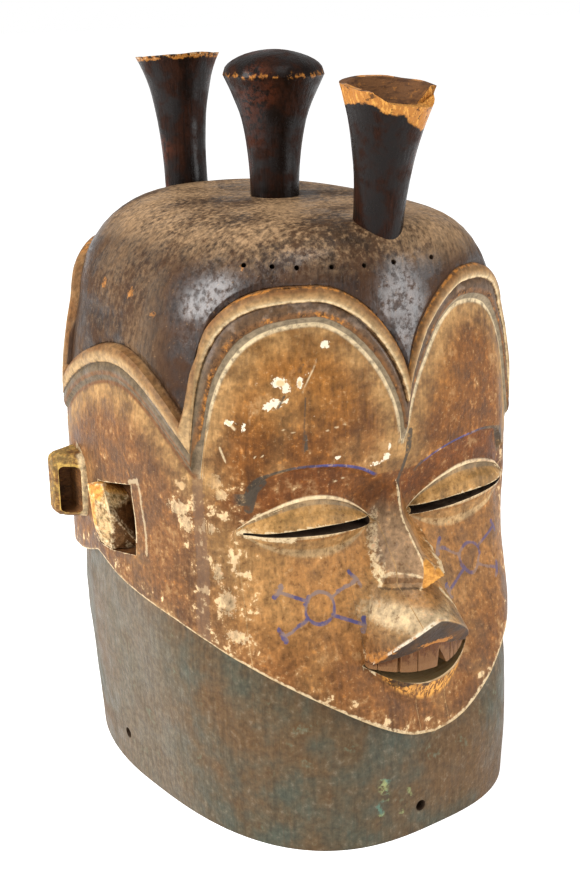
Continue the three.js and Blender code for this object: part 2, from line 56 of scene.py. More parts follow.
# Hollow for the wearer's head
HOLLOW_WIDTH = [(0, 90), (75, 96), (150, 100), (225, 106), (290, 101), (346, 92)]
HOLLOW_DEPTH = [(0, 130), (75, 127), (120, 118), (165, 106), (260, 104), (346, 100)]
HOLLOW_TOP = 346
HOLLOW_DOME = 0.72
HOLLOW_FLOOR = -5
HOLLOW_RINGS = 41
HOLLOW_SIDES = 72
# How much of its height and of its dome's width the last ring closes
HOLLOW_CLOSED = (0.985, 0.94)

# Hairline: two lobes over each face and one over each side, meeting in V points
PLACES = {
    "left": [(0, 0), (131, 131), (208, 226), (302, 321), (452, 452)],
    "right": [(0, 0), (114, 131), (208, 226), (290, 321), (452, 452)],
}
FACE_EDGE = {
    "foot": 236, "middle_foot": 249, "centre": 65, "inner": 63.5, "outer": 63.5, "top": 323.5,
    "inner_power": 1.8, "outer_power": 2.75, "side_rise": 40, "side_half": 91,
}
DARK_EDGE = {
    "foot": 246, "middle_foot": 262, "centre": 66, "inner": 67, "outer": 70, "top": 336,
    "inner_power": 1.9, "outer_power": 3.2, "side_rise": 42, "side_half": 94,
}
CREAM_EDGE = {
    "foot": 256, "middle_foot": 276, "centre": 67, "inner": 69, "outer": 76, "top": 344.5,
    "inner_power": 1.95, "outer_power": 3.1, "side_rise": 43, "side_half": 95,
}
SIDE_POWER = 1.9
BAND_EDGE = 1.2
BAND_GAP = 3
# Rise of the dark band over the face, by its share from the face's edge to the cream band
BAND_PROFILE = [(0, 0), (0.3, 1.9), (0.42, 2.5), (0.6, 3.1), (0.8, 3.2), (1, 2.5)]

# Depths of the carving below or above the head's even surface
FACE_OUT = [(0, -6), (60, -6), (100, -1), (226, -1.5)]
CREAM_STEP = 3.6
CREAM_BULGE = 2
HAIR_GROOVE = -1.4
COLLAR_GROOVE = -4
GROOVE_REACH = 34
HAIR_EDGE = 5

# Jaw line, from the chin up to the middle of the side where both faces meet
JAW = [(0, 67), (20, 71), (42, 82), (73, 102), (113, 124), (150, 140), (200, 151), (226, 160)]
JAW_PLACES = [(0, 0), (238, 226), (452, 452)]
JAW_LIFT = [(0, 1), (60, 3), (120, 4), (226, 6)]
JAW_SPAN = 55

# Eyes, brows, cheeks and nose
EYE = {
    "arc": 59, "z": 201, "slope": 0.065, "inner": 47, "outer": 53, "above": 19, "below": 14,
    "bulge": 5,
}
LID_EDGE = {
    "wall": 0.3, "sink": 2.2, "wall_end": 0.93, "wall_fade": 0.07, "lip": 1.3, "lip_place": 1.05,
    "lip_width": 0.12,
}
SOCKET = {"z": 196, "span": 34, "depth": 19, "reach": 135}
SLIT = {"inner": 15, "outer": 95, "wide": 5.5, "narrow": 1.4}
BROW_LINE = [
    (17, 229.7), (28, 235.5), (43, 239.6), (63.6, 241.3), (78.5, 240.8), (92.9, 236.2), (103, 223.6),
]
BROW = {"depth": 2.6, "step": 2.5, "fade": 60, "inner": (8, 22), "outer": (100, 120)}
CHEEK = {"arc": 58, "z": 158, "reach": 30, "depth": 3}
NOSE_BASE = {"z": 162.5, "drop": 4, "half": 21}
NOSE_TOP = {"z": 224, "fade": 8}
NOSE_ROUND = 0.9
NOSE_RIDGE = [
    (162.5, 4.5), (168, 8), (174, 9.8), (178, 9), (190, -1.5), (201, -10.5), (211, -12.5),
    (224, -13),
]
NOSE_HALF = [(160, 21), (174, 22.5), (190, 19), (200, 14), (211, 8), (224, 4)]
# The raw face at the nose's broken tip: its levels over the ridge, and the corner of the wing
NOSE_BREAK = {"top": 178.5, "bottom": 164, "out": 9, "arc": 12, "z": 173, "wing_out": 15.5, "steep": 3}

# Mouth
MOUTH = {
    "half": 41, "corner": 119, "crest": 31, "underside": 10, "lower_lip": 13.5,
    "lower_edge": 26, "crest_out": 32, "underside_out": 17.5, "lower_out": 11.5,
    "edge_out": 3, "muzzle_top": 172, "top_half": 23, "end_power": 0.6, "muzzle_power": 0.8,
    "upper_power": 1.45, "below": 8,
}
TEETH = {
    "front": 166, "back": 154, "bottom": 115.5, "top": 138, "half": 35, "sweep": 15, "roots": 3,
}
# The gap of the missing tooth, as (x, z), and the cuts between teeth as (x, width)
MISSING_TOOTH = [(3.6, 111), (15, 111), (5.5, 127)]
TOOTH_CUTS = [(-31, 0.7), (-20.4, 1.8), (-9.6, 0.6), (15.8, 0.7), (20.3, 0.7), (26, 0.8)]
TOOTH_CUT = {"depth": 4, "before": 9, "below": 3, "top": 150}
# From where to where along Y the openings of the front face are cut
CUTS = {"eye": (-180, -50), "mouth": (-200, -100), "teeth": (-190, -120)}

# Ears of the left side; the right side mirrors them
EAR_PLANE = -130
POCKET = {
    "outline": [(-36, 218), (0, 209.5), (9, 208), (9, 167), (-10, 167.5), (-36, 172)],
    "depth": 13,
}
# Corners (x, y, z) of the broken stump: its torn outer side, its point and its root in the pocket
STUMP = [
    (-136, 12.6, 206), (-131.5, -0.5, 208.4), (-129, 1, 201), (-137.5, -1.8, 200),
    (-136, -19.8, 197), (-119, -5, 197.5), (-121, -15, 169.5), (-135, -1.7, 171.5),
    (-132, -11, 169), (-137.5, 5.7, 199), (-137, 1, 180), (-114, 13, 206), (-114, -6, 200),
    (-114, -16, 168), (-114, 6, 168),
]
TORN_SIZE = 2.6
# The whole ear behind it, as (x, y) outlines of the block and of its hollow, and their levels
BACK_EAR = {
    "block": [(-116, 26), (-131, 29), (-142, 38.5), (-145.6, 43), (-145.4, 52), (-116, 64)],
    "levels": (176, 219), "corner": 6,
    "hollow": [(-132.6, 20), (-143.2, 28), (-143.2, 50), (-131.5, 50)],
    "hollow_levels": (179.5, 211), "hollow_corner": 3,
}

# Posts on the crown, from the back to the front
POST_X = -3.7
POSTS = [
    {"y": 115.6, "z": 367, "lean": 5.3, "height": 90, "neck": 14.6, "flare": 28.5, "power": 3,
     "cap": 0, "broken": False},
    {"y": -1.7, "z": 375, "lean": 0, "height": 74.5, "neck": 15.4, "flare": 31.5, "power": 2.6,
     "cap": 15, "broken": False},
    {"y": -112.7, "z": 370.5, "lean": -7.6, "height": 80.5, "neck": 14.2, "flare": 27.5,
     "power": 2, "cap": 0, "broken": True},
]
POST_ROOT = 20
POST_SIDES = 44
POST_FACETS = {"size": 9, "height": 24, "depth": 0.03}
RIM_WAVES = {"turn": 2.5, "depth": 0.7, "lower": 0.5}
CUP_WALL = 4
CUP_DEPTH = 14
RIM_BREAK = [
    (-25, 6), (-22, -1), (-14, -6), (4, -8), (17, -9.5), (24, -5), (28, 3), (28, 20), (-25, 20),
]

# Holes for the costume near the rim, and small ones along the hairline of the forehead
COSTUME_HOLE = {"radius": 3.7, "length": 60, "z": 18, "side_z": 24, "side_y": 14}
FOREHEAD_HOLES = [
    (-78.6, -89.5), (-68.2, -102), (-58.5, -112), (-42, -121), (-24, -127), (-5.7, -128.6),
    (21.5, -128.6),
]
FOREHEAD_HOLE = {"z": 353, "radius": 1.5, "length": 16}

# Finishes of the wood, in the order of the piece's material slots
FINISHES = [
    "painted_wood", "hollow_wood", "raw_break", "black_post", "ear_wood", "tooth_wood", "cup_wood",
    "mouth_wood",
]
PAINTED, HOLLOW, RAW, BLACK, EAR, TOOTH, CUP, MOUTH_CUT = range(len(FINISHES))

# Colours of the wood and its paint, and of the painted shade, sheen and light, in linear light
TONES = {
    "chin": (0.165, 0.065, 0.017),
    "cheek": (0.3, 0.14, 0.042),
    "ochre": (0.21, 0.084, 0.016),
    "pale_ochre": (0.28, 0.155, 0.056),
    "deep_ochre": (0.14, 0.05, 0.01),
    "low_forehead": (0.142, 0.05, 0.009),
    "socket": (0.115, 0.034, 0.006),
    "lid": (0.3, 0.16, 0.05),
    "low_lid": (0.23, 0.105, 0.03),
    "flake": (0.5, 0.35, 0.19),
    "muzzle": (0.23, 0.13, 0.05),
    "facet": (0.26, 0.16, 0.085),
    "side_face": (0.14, 0.06, 0.02),
    "cream": (0.36, 0.235, 0.11),
    "bright_cream": (0.6, 0.46, 0.27),
    "bare_white": (0.72, 0.62, 0.46),
    # painted shade of the sunk wall under a lid's edge and of the bands' step
    "wall_painted_shade": (0.2, 0.15, 0.09),
    "raw_orange": (0.36, 0.14, 0.025),
    "fresh_orange": (0.62, 0.29, 0.06),
    "dark_band": (0.085, 0.045, 0.02),
    "side_band": (0.11, 0.075, 0.04),
    # painted sheen of the dark band
    "band_painted_sheen": (0.17, 0.12, 0.085),
    # worn brown paint and wood, and the painted shade on the stump's inward face
    "worn_brown_and_shade": (0.14, 0.06, 0.018),
    "tan": (0.25, 0.14, 0.055),
    "groove": (0.06, 0.025, 0.008),
    "hair": (0.016, 0.006, 0.002),
    "hair_brown": (0.045, 0.018, 0.006),
    "hair_dust": (0.3, 0.185, 0.095),
    "collar_brown": (0.1, 0.055, 0.022),
    "collar_green": (0.06, 0.064, 0.044),
    # grey paint of the collar, and the painted sheen down its left side
    "collar_grey_and_sheen": (0.13, 0.103, 0.07),
    "turquoise": (0.075, 0.15, 0.11),
    "fresh_green": (0.2, 0.22, 0.09),
    "line_blue": (0.05, 0.05, 0.14),
    "scar_grey": (0.2, 0.14, 0.12),
    "line_grey": (0.06, 0.045, 0.03),
    "stripe": (0.13, 0.075, 0.045),
    # soot and dark specks, and the painted shadow along the nose's base
    "soot_and_shadow": (0.018, 0.009, 0.004),
    # painted shade of the upper lip's underside
    "lip_underside_painted_shade": (0.022, 0.011, 0.006),
    "tooth": (0.085, 0.028, 0.007),
    # paler tooth wood, and the painted light from the floor on the teeth's lower faces
    "pale_tooth_and_floor_light": (0.2, 0.095, 0.036),
    "post": (0.004, 0.0014, 0.0006),
    "post_brown": (0.022, 0.007, 0.003),
    "post_red": (0.09, 0.022, 0.008),
    "cup": (0.12, 0.05, 0.016),
    "mouth_olive": (0.24, 0.17, 0.08),
    "hollow": (0.05, 0.03, 0.018),
    "hollow_light": (0.1, 0.065, 0.04),
    "ear_olive": (0.2, 0.12, 0.035),
    "ear_yellow": (0.42, 0.26, 0.06),
    "stump_cream": (0.44, 0.3, 0.14),
}


# Torn wood at the front post's rim: its lower end, how it falls along X, and where it ends along Y
TORN_RIM = {"level": 429, "fade": 1.5, "slope": 0.4, "ragged": 16, "y": (-84, -90)}

# Marks on the paint whose distance is kept on the surface: strokes as from (arc, z), to (arc, z)
# and width, and patches as middle (arc, z) and half sizes
STROKES = {
    "pale_strokes": [
        ((-93, 299), (-87, 294), 0.7), ((-70, 285), (-61, 303), 0.7),
        ((-115, 270), (-109, 265), 1.2), ((-101, 284), (-101, 268), 0.6),
        ((-84, 266), (-72, 262), 0.6), ((-54, 262), (-40, 265), 0.6),
        ((-97, 249.5), (-92, 250.5), 0.8), ((-118, 254), (-114, 246), 0.8),
        ((-50, 228), (-38, 231), 0.8),
    ],
    "dark_strokes": [
        ((5, 254), (5, 242), 3.6), ((5, 242), (0, 211), 2), ((-68, 282), (-68.5, 250), 0.8),
        ((-67, 262), (-66, 252), 1.8), ((-81, 284.5), (-85, 277), 1.2),
        ((-70, 301), (-73, 297), 1), ((18, 231), (15, 227), 3), ((-92, 234), (-99, 227), 3.5),
        ((-99, 227), (-102, 218), 5.5),
    ],
    "stripes": [
        ((-131, 236), (-133, 205), 7), ((-133, 205), (-140, 136), 8), ((116, 240), (124, 134), 8),
    ],
    "nose_side": [
        ((-12, 205), (-17, 190), 3.5), ((-17, 190), (-20, 168), 5),
    ],
    "nose_lip": [
        ((-22, 163.5), (-15, 170.5), 1.5), ((-15, 170.5), (-9, 172.5), 1.3),
        ((-9, 172.5), (-2, 170.5), 1.5), ((16, 158), (37, 130), 1.5),
    ],
    "pocket_rim": [
        ((-192, 219), (-182.5, 222.5), 2.4), ((-182.5, 222.5), (-180, 214), 2),
        ((-180, 214), (-180.5, 176), 1.8),
    ],
    "green_scratches": [
        ((-52, 50), (-24, 34), 1.2), ((-56, 44), (-22, 28), 1), ((-50, 36), (-28, 24), 1.4),
        ((-55, 30), (-30, 17), 1), ((-52, 22), (-40, 16), 1.2),
    ],
    "cracks": [
        ((-205.6, 368), (-211.6, 361), 0.7), ((-211.6, 361), (-194, 310), 0.7),
        ((-194, 310), (-201, 300.5), 0.7), ((-130, 355), (-127.5, 341), 0.7),
    ],
}
PATCHES = {
    "chips": [
        ((-84.7, 292), (4.6, 2.7)), ((-80, 288.5), (3, 2.4)), ((-86.5, 280.2), (4.6, 2.4)),
        ((-91.5, 277.8), (2.4, 2)), ((-80.5, 282), (2.4, 1.2)), ((-71.7, 291), (2, 3.4)),
        ((-66, 296.5), (2.2, 0.9)), ((-55.6, 311), (3.2, 2.2)), ((-45.6, 245), (1.8, 1.4)),
        ((-34.2, 251), (1.3, 0.8)), ((-18, 237.2), (3.6, 1.2)), ((-11, 240.5), (2.4, 2)),
        ((-9.4, 246.5), (0.9, 2.4)), ((-113, 268.5), (3, 1.6)), ((-104, 266.5), (1.3, 2.6)),
        ((-66, 258), (1.1, 0.8)), ((-98, 291), (1, 1.6)), ((-62, 272), (1, 1)),
    ],
    "lost_paint": [
        ((-121.5, 234), (5, 4)), ((-117, 226), (4, 3)), ((-147, 214), (7, 4)),
        ((-142, 205), (4, 5)), ((-127, 205), (5, 3)), ((-122, 160), (5, 7)),
        ((-118, 140), (7, 3.5)), ((-126, 178), (3, 5)),
    ],
    "charred": [
        ((-22, 107), (9, 3)), ((1, 110), (4, 2)), ((14, 106), (2, 4)), ((-6, 104), (3, 2)),
    ],
    "hair_wear": [
        ((-207, 330), (3.5, 3)), ((-120, 352), (3, 2)), ((-178, 322), (4, 1.6)),
        ((-97, 350), (2.5, 2)),
    ],
    "hair_gloss": [
        ((-140, 333), (26, 24)), ((-6, 328), (22, 26)), ((-80, 352), (30, 10)),
    ],
}
# The orange wood in the large chips
CHIP_HEARTS = [((-83.5, 291.5), (2.6, 1.7)), ((-71.9, 290.5), (1.2, 1.8))]

# Scar pattern of a cheek: its centre, ring and forks
SCAR = {
    "arc": 66.3, "z": 157.7, "lift": 2.6, "ring": 9.3, "line": 2.1, "reach": (25, 13),
    "start": (7.5, 5), "bar": 4, "inward": 0.84,
}

# Columns of the skin on one half turn: from arc, to arc, and how many
COLUMN_SPANS = [
    (0, 45, 36), (45, 110, 40), (110, 131, 16), (131, 140, 7), (140, 226, 33), (226, 312, 30),
    (312, 321, 5), (321, 345, 13), (345, 407, 27), (407, 452, 24),
]
# How far along the arc the rows follow the carved lines, before they fade into even rows
ROWS_REACH = {"mouth": MOUTH["half"], "nose": 30, "eye": 95}
ROWS_FADE = 32
ROWS_APART = 0.9
# Rows over the dome, by their share of its width: the first, the last and how many
DOME_ROWS = (0.9, 0.06, 17)

# Unevenness left by the tools: size and depth of its waves, and where it starts over the rim and
# ends under the crown
UNEVENNESS = [(26, 0.45), (9, 0.2), (4, 0.12)]
EVEN_RIM = 4
RIM_FADE = 20
CROWN_FADE = 10

# Edges steeper than this stay sharp
SHARP_ANGLE = math.radians(38)


# Plain helpers for shaping

def clamp(x, low=0.0, high=1.0):
    return np.minimum(np.maximum(x, low), high)


def mix(a, b, t):
    return a + (b - a) * t


def ease(x):
    t = clamp(x)
    return t * t * (3 - 2 * t)


def hill(x):
    return np.exp(-x * x)


def through(stations):
    """A smooth curve through stations (at, value), level beyond the first and the last."""
    at, value = np.array(stations, float).T
    after = np.minimum(np.arange(len(at)) + 1, len(at) - 1)
    before = np.maximum(np.arange(len(at)) - 1, 0)
    slope = (value[after] - value[before]) / (at[after] - at[before])

    def curve(place):
        x = clamp(place, at[0], at[-1])
        i = np.clip(np.searchsorted(at, x) - 1, 0, len(at) - 2)
        w = at[i + 1] - at[i]
        t = (x - at[i]) / w
        bend = w * t * (1 - t) * ((1 - t) * slope[i] - t * slope[i + 1])
        return mix(value[i], value[i + 1], t * t * (3 - 2 * t)) + bend

    return curve


def along(pairs, at):
    """A broken line through (at, value) pairs."""
    places, values = zip(*pairs)
    return np.interp(at, places, values)


half_width_at = through(HALF_WIDTH)
half_depth_at = through(HALF_DEPTH)
jaw_stations = through(JAW)
jaw_lift_at = through(JAW_LIFT)
brow_line = through(BROW_LINE)
face_out_at = through(FACE_OUT)
nose_ridge_at = through(NOSE_RIDGE)
nose_half_at = through(NOSE_HALF)
band_profile_at = through(BAND_PROFILE)
hollow_width_at = through(HOLLOW_WIDTH)
hollow_depth_at = through(HOLLOW_DEPTH)


# The plain head

def section(z, back):
    """Half width and half depth of the level section at a height."""
    left = 1 - clamp((z - SHOULDER) / (CROWN - SHOULDER)) ** DOME_ROUNDNESS
    ends = np.where(back, 1 / DOME_ENDS["back"], 1 / DOME_ENDS["front"])
    return half_width_at(z) * left ** (1 / DOME_SIDES), half_depth_at(z) * left ** ends


def walk_of_widest_section():
    """Directions of the widest section against the length walked along its quarter arc."""
    turn = np.linspace(0, math.pi / 2, 901)
    across = np.sin(turn) ** (2 / SQUARENESS)
    ahead = np.clip(np.cos(turn), 0, 1) ** (2 / SQUARENESS)
    width, depth = section(np.array(WIDEST_LEVEL, float), False)
    steps = np.hypot(np.diff(width * across), np.diff(depth * ahead))
    length = np.concatenate([[0], np.cumsum(steps)])
    return length * QUARTER / length[-1], across, ahead


WALK, WALK_ACROSS, WALK_AHEAD = walk_of_widest_section()


def fold(arc):
    """Half a turn of arc reaches from the middle of the front face to that of the back one."""
    return np.where(np.abs(arc) > QUARTER, 2 * QUARTER - np.abs(arc), np.abs(arc))


def side_of(arc):
    return np.where(arc < 0, -1.0, 1.0)


def head_point(arc, z, out):
    """Points on the head, pushed outwards. Towards the rim the section turns a little."""
    back = np.abs(arc) > QUARTER
    width, depth = section(z, back)
    across = np.interp(fold(arc), WALK, WALK_ACROSS)
    ahead = np.interp(fold(arc), WALK, WALK_AHEAD)
    rim_share = 1 - ease(z / TWIST_END)
    squarer = np.where(back, RIM_SQUARENESS["back"], RIM_SQUARENESS["front"])
    power = mix(SQUARENESS, squarer, rim_share)
    even = (across**power + ahead**power) ** (-1 / power)
    slope_x = across ** (power - 1) * depth
    slope_y = ahead ** (power - 1) * width
    steep = np.hypot(slope_x, slope_y)
    steep = np.where(steep == 0, 1, steep)
    x = side_of(arc) * (width * across * even + out * slope_x / steep)
    y = np.where(back, 1, -1) * (depth * ahead * even + out * slope_y / steep)
    twist = RIM_TWIST * rim_share
    reached = np.where(y < 0, y, y / (1 + np.maximum(y, 0) / TWIST_REACH))
    return np.stack([
        x * np.cos(twist) - reached * np.sin(twist), x * np.sin(twist) + y * np.cos(twist), z,
    ], axis=-1)


# Jaw line and hairline curves

def jaw_at(arc):
    return jaw_stations(fold(along(JAW_PLACES, np.abs(arc))))


def curve_height(curve, even):
    """Height of one hairline curve: its lobe over the face or the one over the side."""
    a = fold(even)
    near = a < curve["centre"]
    half = np.where(near, curve["inner"], curve["outer"])
    power = np.where(near, curve["inner_power"], curve["outer_power"])
    inner_foot = mix(curve["middle_foot"], curve["foot"], a / curve["centre"])
    foot = np.where(near, inner_foot, curve["foot"])
    across = clamp(np.abs(a - curve["centre"]) / half)
    front = foot + (curve["top"] - foot) * (1 - across**power) ** (1 / power)
    aside = clamp((QUARTER - a) / curve["side_half"])
    return np.maximum(front, curve["foot"] + curve["side_rise"] * (1 - aside**SIDE_POWER))


def even_arc(arc):
    """The even arc, on which the hairline is drawn, of a place on the head."""
    left = along(PLACES["left"], np.abs(arc))
    right = along(PLACES["right"], np.abs(arc))
    return np.where(arc < 0, left, right)


def place_of(even):
    turned = {side: [(b, a) for a, b in pairs] for side, pairs in PLACES.items()}
    left = along(turned["left"], np.abs(even))
    right = along(turned["right"], np.abs(even))
    return np.where(even < 0, -left, right)


def hairline(arc):
    """Heights of the face's edge, the dark band's top and the cream band's top."""
    even = even_arc(arc)
    face = curve_height(FACE_EDGE, even)
    dark = np.maximum(curve_height(DARK_EDGE, even), face + BAND_GAP)
    return face, dark, np.maximum(curve_height(CREAM_EDGE, even), dark + BAND_GAP)


# Relief of a face: how far its surface stands out from the plain head

def eye_line(a):
    return EYE["z"] + EYE["slope"] * (a - EYE["arc"])


def along_eye(a):
    """0 at the middle of the eye, -1 at its inner and 1 at its outer corner."""
    off = a - EYE["arc"]
    return off / np.where(off > 0, EYE["outer"], EYE["inner"])


def eye_share(a, z):
    """Place inside the almond: 1 at its upper edge, 0 at the slit, -1 at its lower edge."""
    open_share = np.maximum(1 - along_eye(a) ** 2, 1e-3)
    above = z - eye_line(a)
    return above / (open_share * np.where(above > 0, EYE["above"], EYE["below"])), open_share


def eye_relief(a, z):
    v, open_share = eye_share(a, z)
    between_corners = np.abs(along_eye(a)) < 1
    inside = (np.abs(v) < 1) & between_corners
    ball = np.where(inside, EYE["bulge"] * (1 - v * v) * np.sqrt(open_share), 0)
    wall = LID_EDGE["sink"] * ease((v - (1 - 2 * LID_EDGE["wall"])) / LID_EDGE["wall"])
    ending = ease((v - LID_EDGE["wall_end"]) / LID_EDGE["wall_fade"])
    sunk = np.where(inside & (v > 0), wall * (1 - ending), 0)
    lip = LID_EDGE["lip"] * hill((v - LID_EDGE["lip_place"]) / LID_EDGE["lip_width"])
    lip = lip * np.sqrt(open_share)
    return ball - sunk * np.sqrt(open_share) + np.where(between_corners, lip, 0)


def brow_relief(a, z):
    below = brow_line(a) - z
    (start, begun), (full, end) = BROW["inner"], BROW["outer"]
    ends = ease((a - start) / (begun - start)) * ease((end - a) / (end - full))
    sinking = ease(below / BROW["step"]) * (1 - ease(below / BROW["fade"]))
    return np.where(below > 0, -BROW["depth"] * sinking * ends, 0)


def nose_base(a):
    return NOSE_BASE["z"] - NOSE_BASE["drop"] * clamp(a / NOSE_BASE["half"]) ** 2


def nose_share(a, z):
    """How much of the nose's height, from the face to the ridge, stands at a place."""
    fading = ease((z - NOSE_TOP["z"]) / NOSE_TOP["fade"] + 1)
    share = clamp(1 - a / nose_half_at(z)) ** NOSE_ROUND * (1 - fading)
    return np.where(z < nose_base(a), 0, share)


def off_nose_break(arc, z):
    """How far a place lies outside the raw face, and the face's share from ridge to wing."""
    share = clamp(arc / NOSE_BREAK["arc"])
    above = z - mix(NOSE_BREAK["top"], NOSE_BREAK["z"], share)
    below = mix(NOSE_BREAK["bottom"], NOSE_BREAK["z"], share) - z
    beside = np.maximum(arc - NOSE_BREAK["arc"], -arc)
    off = np.maximum(np.maximum(above, below), beside)
    return np.where(np.abs(arc) > QUARTER, 99, off), share


def broken_tip(arc, z):
    off, share = off_nose_break(arc, z)
    return mix(NOSE_BREAK["out"], NOSE_BREAK["wing_out"], share) - NOSE_BREAK["steep"] * clamp(off, 0, 99)


def mouth_curve(a, rise):
    """A line of the mouth: the upper ones rise straighter from the corners than the lower ones."""
    power = MOUTH["upper_power"] if rise > 0 else 2
    return MOUTH["corner"] + rise * (1 - clamp(a / MOUTH["half"]) ** power)


def mouth_relief(a, z):
    high = clamp((z - MOUTH["corner"]) / (MOUTH["muzzle_top"] - MOUTH["corner"]))
    half = mix(MOUTH["half"], MOUTH["top_half"], high)
    full = clamp(1 - (a / half) ** 2) ** MOUTH["end_power"]
    crest = mouth_curve(a, MOUTH["crest"])
    levels = [
        (mouth_curve(a, -MOUTH["lower_edge"]) - MOUTH["below"] * full, 0),
        (mouth_curve(a, -MOUTH["lower_edge"]), MOUTH["edge_out"]),
        (mouth_curve(a, -MOUTH["lower_lip"]), MOUTH["lower_out"]),
        (mouth_curve(a, MOUTH["underside"]), MOUTH["underside_out"]),
        (crest, MOUTH["crest_out"]),
    ]
    out = np.zeros_like(a)
    for (low, first), (high, second) in zip(levels, levels[1:]):
        t = (z - low) / np.maximum(high - low, 1e-6)
        out = np.where((z >= low) & (z <= high), mix(first, second, clamp(t)), out)
    left = clamp((MOUTH["muzzle_top"] - z) / np.maximum(MOUTH["muzzle_top"] - crest, 1e-6))
    out = np.where(z > crest, MOUTH["crest_out"] * left ** MOUTH["muzzle_power"], out)
    return out * full


def face_relief(arc, z):
    a = fold(arc)
    out = mix(jaw_lift_at(a), face_out_at(a), ease((z - jaw_at(arc)) / JAW_SPAN))
    deep = hill((z - SOCKET["z"]) / SOCKET["span"]) * (1 - ease(a / SOCKET["reach"]))
    out = out - SOCKET["depth"] * deep
    cheek = hill((a - CHEEK["arc"]) / CHEEK["reach"]) * hill((z - CHEEK["z"]) / CHEEK["reach"])
    out = out - CHEEK["depth"] * cheek + brow_relief(a, z) + eye_relief(a, z)
    nose = mix(out, np.maximum(nose_ridge_at(z), out), nose_share(a, z))
    return np.maximum(np.maximum(nose, broken_tip(arc, z)), out + mouth_relief(a, z))


def carving(arc, z):
    """How far the carved surface stands out, over the collar, a face, its bands and the hair."""
    a = fold(arc)
    jaw = jaw_at(arc)
    face, dark, cream = hairline(arc)
    groove = ease(1 - (jaw - z) / GROOVE_REACH)
    collar = COLLAR_GROOVE * groove * (1 - a / QUARTER / 2)
    foot = face_relief(arc, np.minimum(z, face))
    share = clamp((z - face) / (dark - face))
    band = mix(foot, face_out_at(a) + band_profile_at(share), ease(share / 0.3))
    across = clamp((z - dark) / (cream - dark))
    ridge = np.maximum(face_out_at(a) + CREAM_STEP, -1) + CREAM_BULGE * np.sin(np.pi * across)
    hair = HAIR_GROOVE * (1 - ease((z - cream) / HAIR_EDGE))
    return np.select([z < jaw, z < face, z < dark, z < cream], [collar, foot, band, ridge], hair)


# Rows of the skin: they follow the carved lines, with even rows between them

def guide_rows(arc):
    """Heights of the carved lines at each arc, and how many rows lead up to each of them."""
    a = fold(arc)
    jaw = jaw_at(arc)
    face, dark, cream = hairline(arc)
    edge = BAND_EDGE / 2
    bottom, top = jaw + edge, face - edge
    open_share = 1 - clamp(along_eye(a), -1, 1) ** 2
    brow, eye = brow_line(a), eye_line(a)
    low_lip = mouth_curve(a, -MOUTH["lower_edge"])
    crest = mouth_curve(a, MOUTH["crest"])
    lines = {
        "mouth": [
            (mix(bottom, low_lip, 0.5), 4), (low_lip, 5), (mouth_curve(a, -MOUTH["lower_lip"]), 7),
            (mouth_curve(a, MOUTH["underside"]), 8), (crest, 9), (mix(crest, NOSE_BASE["z"], 0.5), 4),
        ],
        "nose": [
            (nose_base(a) - 0.6, 4), (nose_base(a) + 0.6, 2),
            (np.full_like(a, NOSE_BASE["z"] + 9), 6),
        ],
        "eye": [
            (eye - EYE["below"] * open_share - 1, 5), (eye - EYE["below"] * open_share * 0.5, 5),
            (eye, 5), (eye + EYE["above"] * open_share * 0.5, 6),
            (eye + EYE["above"] * open_share + 1, 9), (brow, 8), (mix(brow, top, 0.4), 12),
            (mix(brow, top, 0.8), 12),
        ],
    }
    carved = [(ROWS_REACH[part], *line) for part in lines for line in lines[part]]
    count = len(carved)
    rows = []
    for i, (reach, z, _) in enumerate(carved):
        even = mix(bottom, top, (i + 1) / (count + 1))
        rows.append(mix(z, even, ease((a - reach) / ROWS_FADE)))
    for i in range(count):
        rows[i] = np.maximum(rows[i], (rows[i - 1] if i else bottom) + ROWS_APART)
    for i in reversed(range(count)):
        rows[i] = np.minimum(rows[i], (rows[i + 1] if i < count - 1 else top) - ROWS_APART)
    shares = np.linspace(*DOME_ROWS)
    dome = SHOULDER + (CROWN - SHOULDER) * (1 - shares**DOME_SIDES) ** (1 / DOME_ROUNDNESS)
    hair = np.minimum(cream + 4, dome[0] - 2)
    below = [(np.zeros_like(a), 0), (jaw * 0.55, 7), (jaw - 10, 6), (jaw - edge, 5), (bottom, 1)]
    face_steps = [(row, steps) for row, (_, _, steps) in zip(rows, carved)]
    above = [
        (top, 6), (face + edge, 1), (dark - edge, 9), (dark + edge, 2), (mix(dark, cream, 0.5), 4),
        (cream, 4), (hair, 3), (mix(hair, dome[0], 0.55), 10), (np.full_like(a, dome[0]), 8),
    ]
    return below + face_steps + above + [(np.full_like(a, z), 1) for z in dome[1:]]


def rows_of(arc):
    guides = guide_rows(arc)
    rows = [guides[0][0]]
    for (low, _), (high, steps) in zip(guides, guides[1:]):
        rows.extend(mix(low, high, (i + 1) / steps) for i in range(steps))
    return np.array(rows)


def columns():
    half = [0.0]
    for low, high, count in COLUMN_SPANS:
        half.extend(low + (high - low) * (i + 1) / count for i in range(count))
    around = np.array(half[::-1] + [-a for a in half[1:]])
    return place_of(-around)


def uneven(points, size):
    """Smooth noise at points, in millimetres, with waves of a size."""
    return np.array([noise.noise(Vector((x / size, y / size, z / size))) for x, y, z in points])


# Meshes and cuts

def finished_object(name, bm, finish=PAINTED):
    """An object of metres from a bmesh of millimetres, with every finish in its slots. Without a
    finish the faces keep the ones they have."""
    bmesh.ops.recalc_face_normals(bm, faces=bm.faces)
    bmesh.ops.scale(bm, vec=(MM, MM, MM), verts=bm.verts)
    for face in bm.faces:
        face.material_index = face.material_index if finish is None else finish
    mesh = bpy.data.meshes.new(name)
    bm.to_mesh(mesh)
    bm.free()
    for material in WOODS:
        mesh.materials.append(material)
    piece = bpy.data.objects.new(name, mesh)
    bpy.context.scene.collection.objects.link(piece)
    return piece


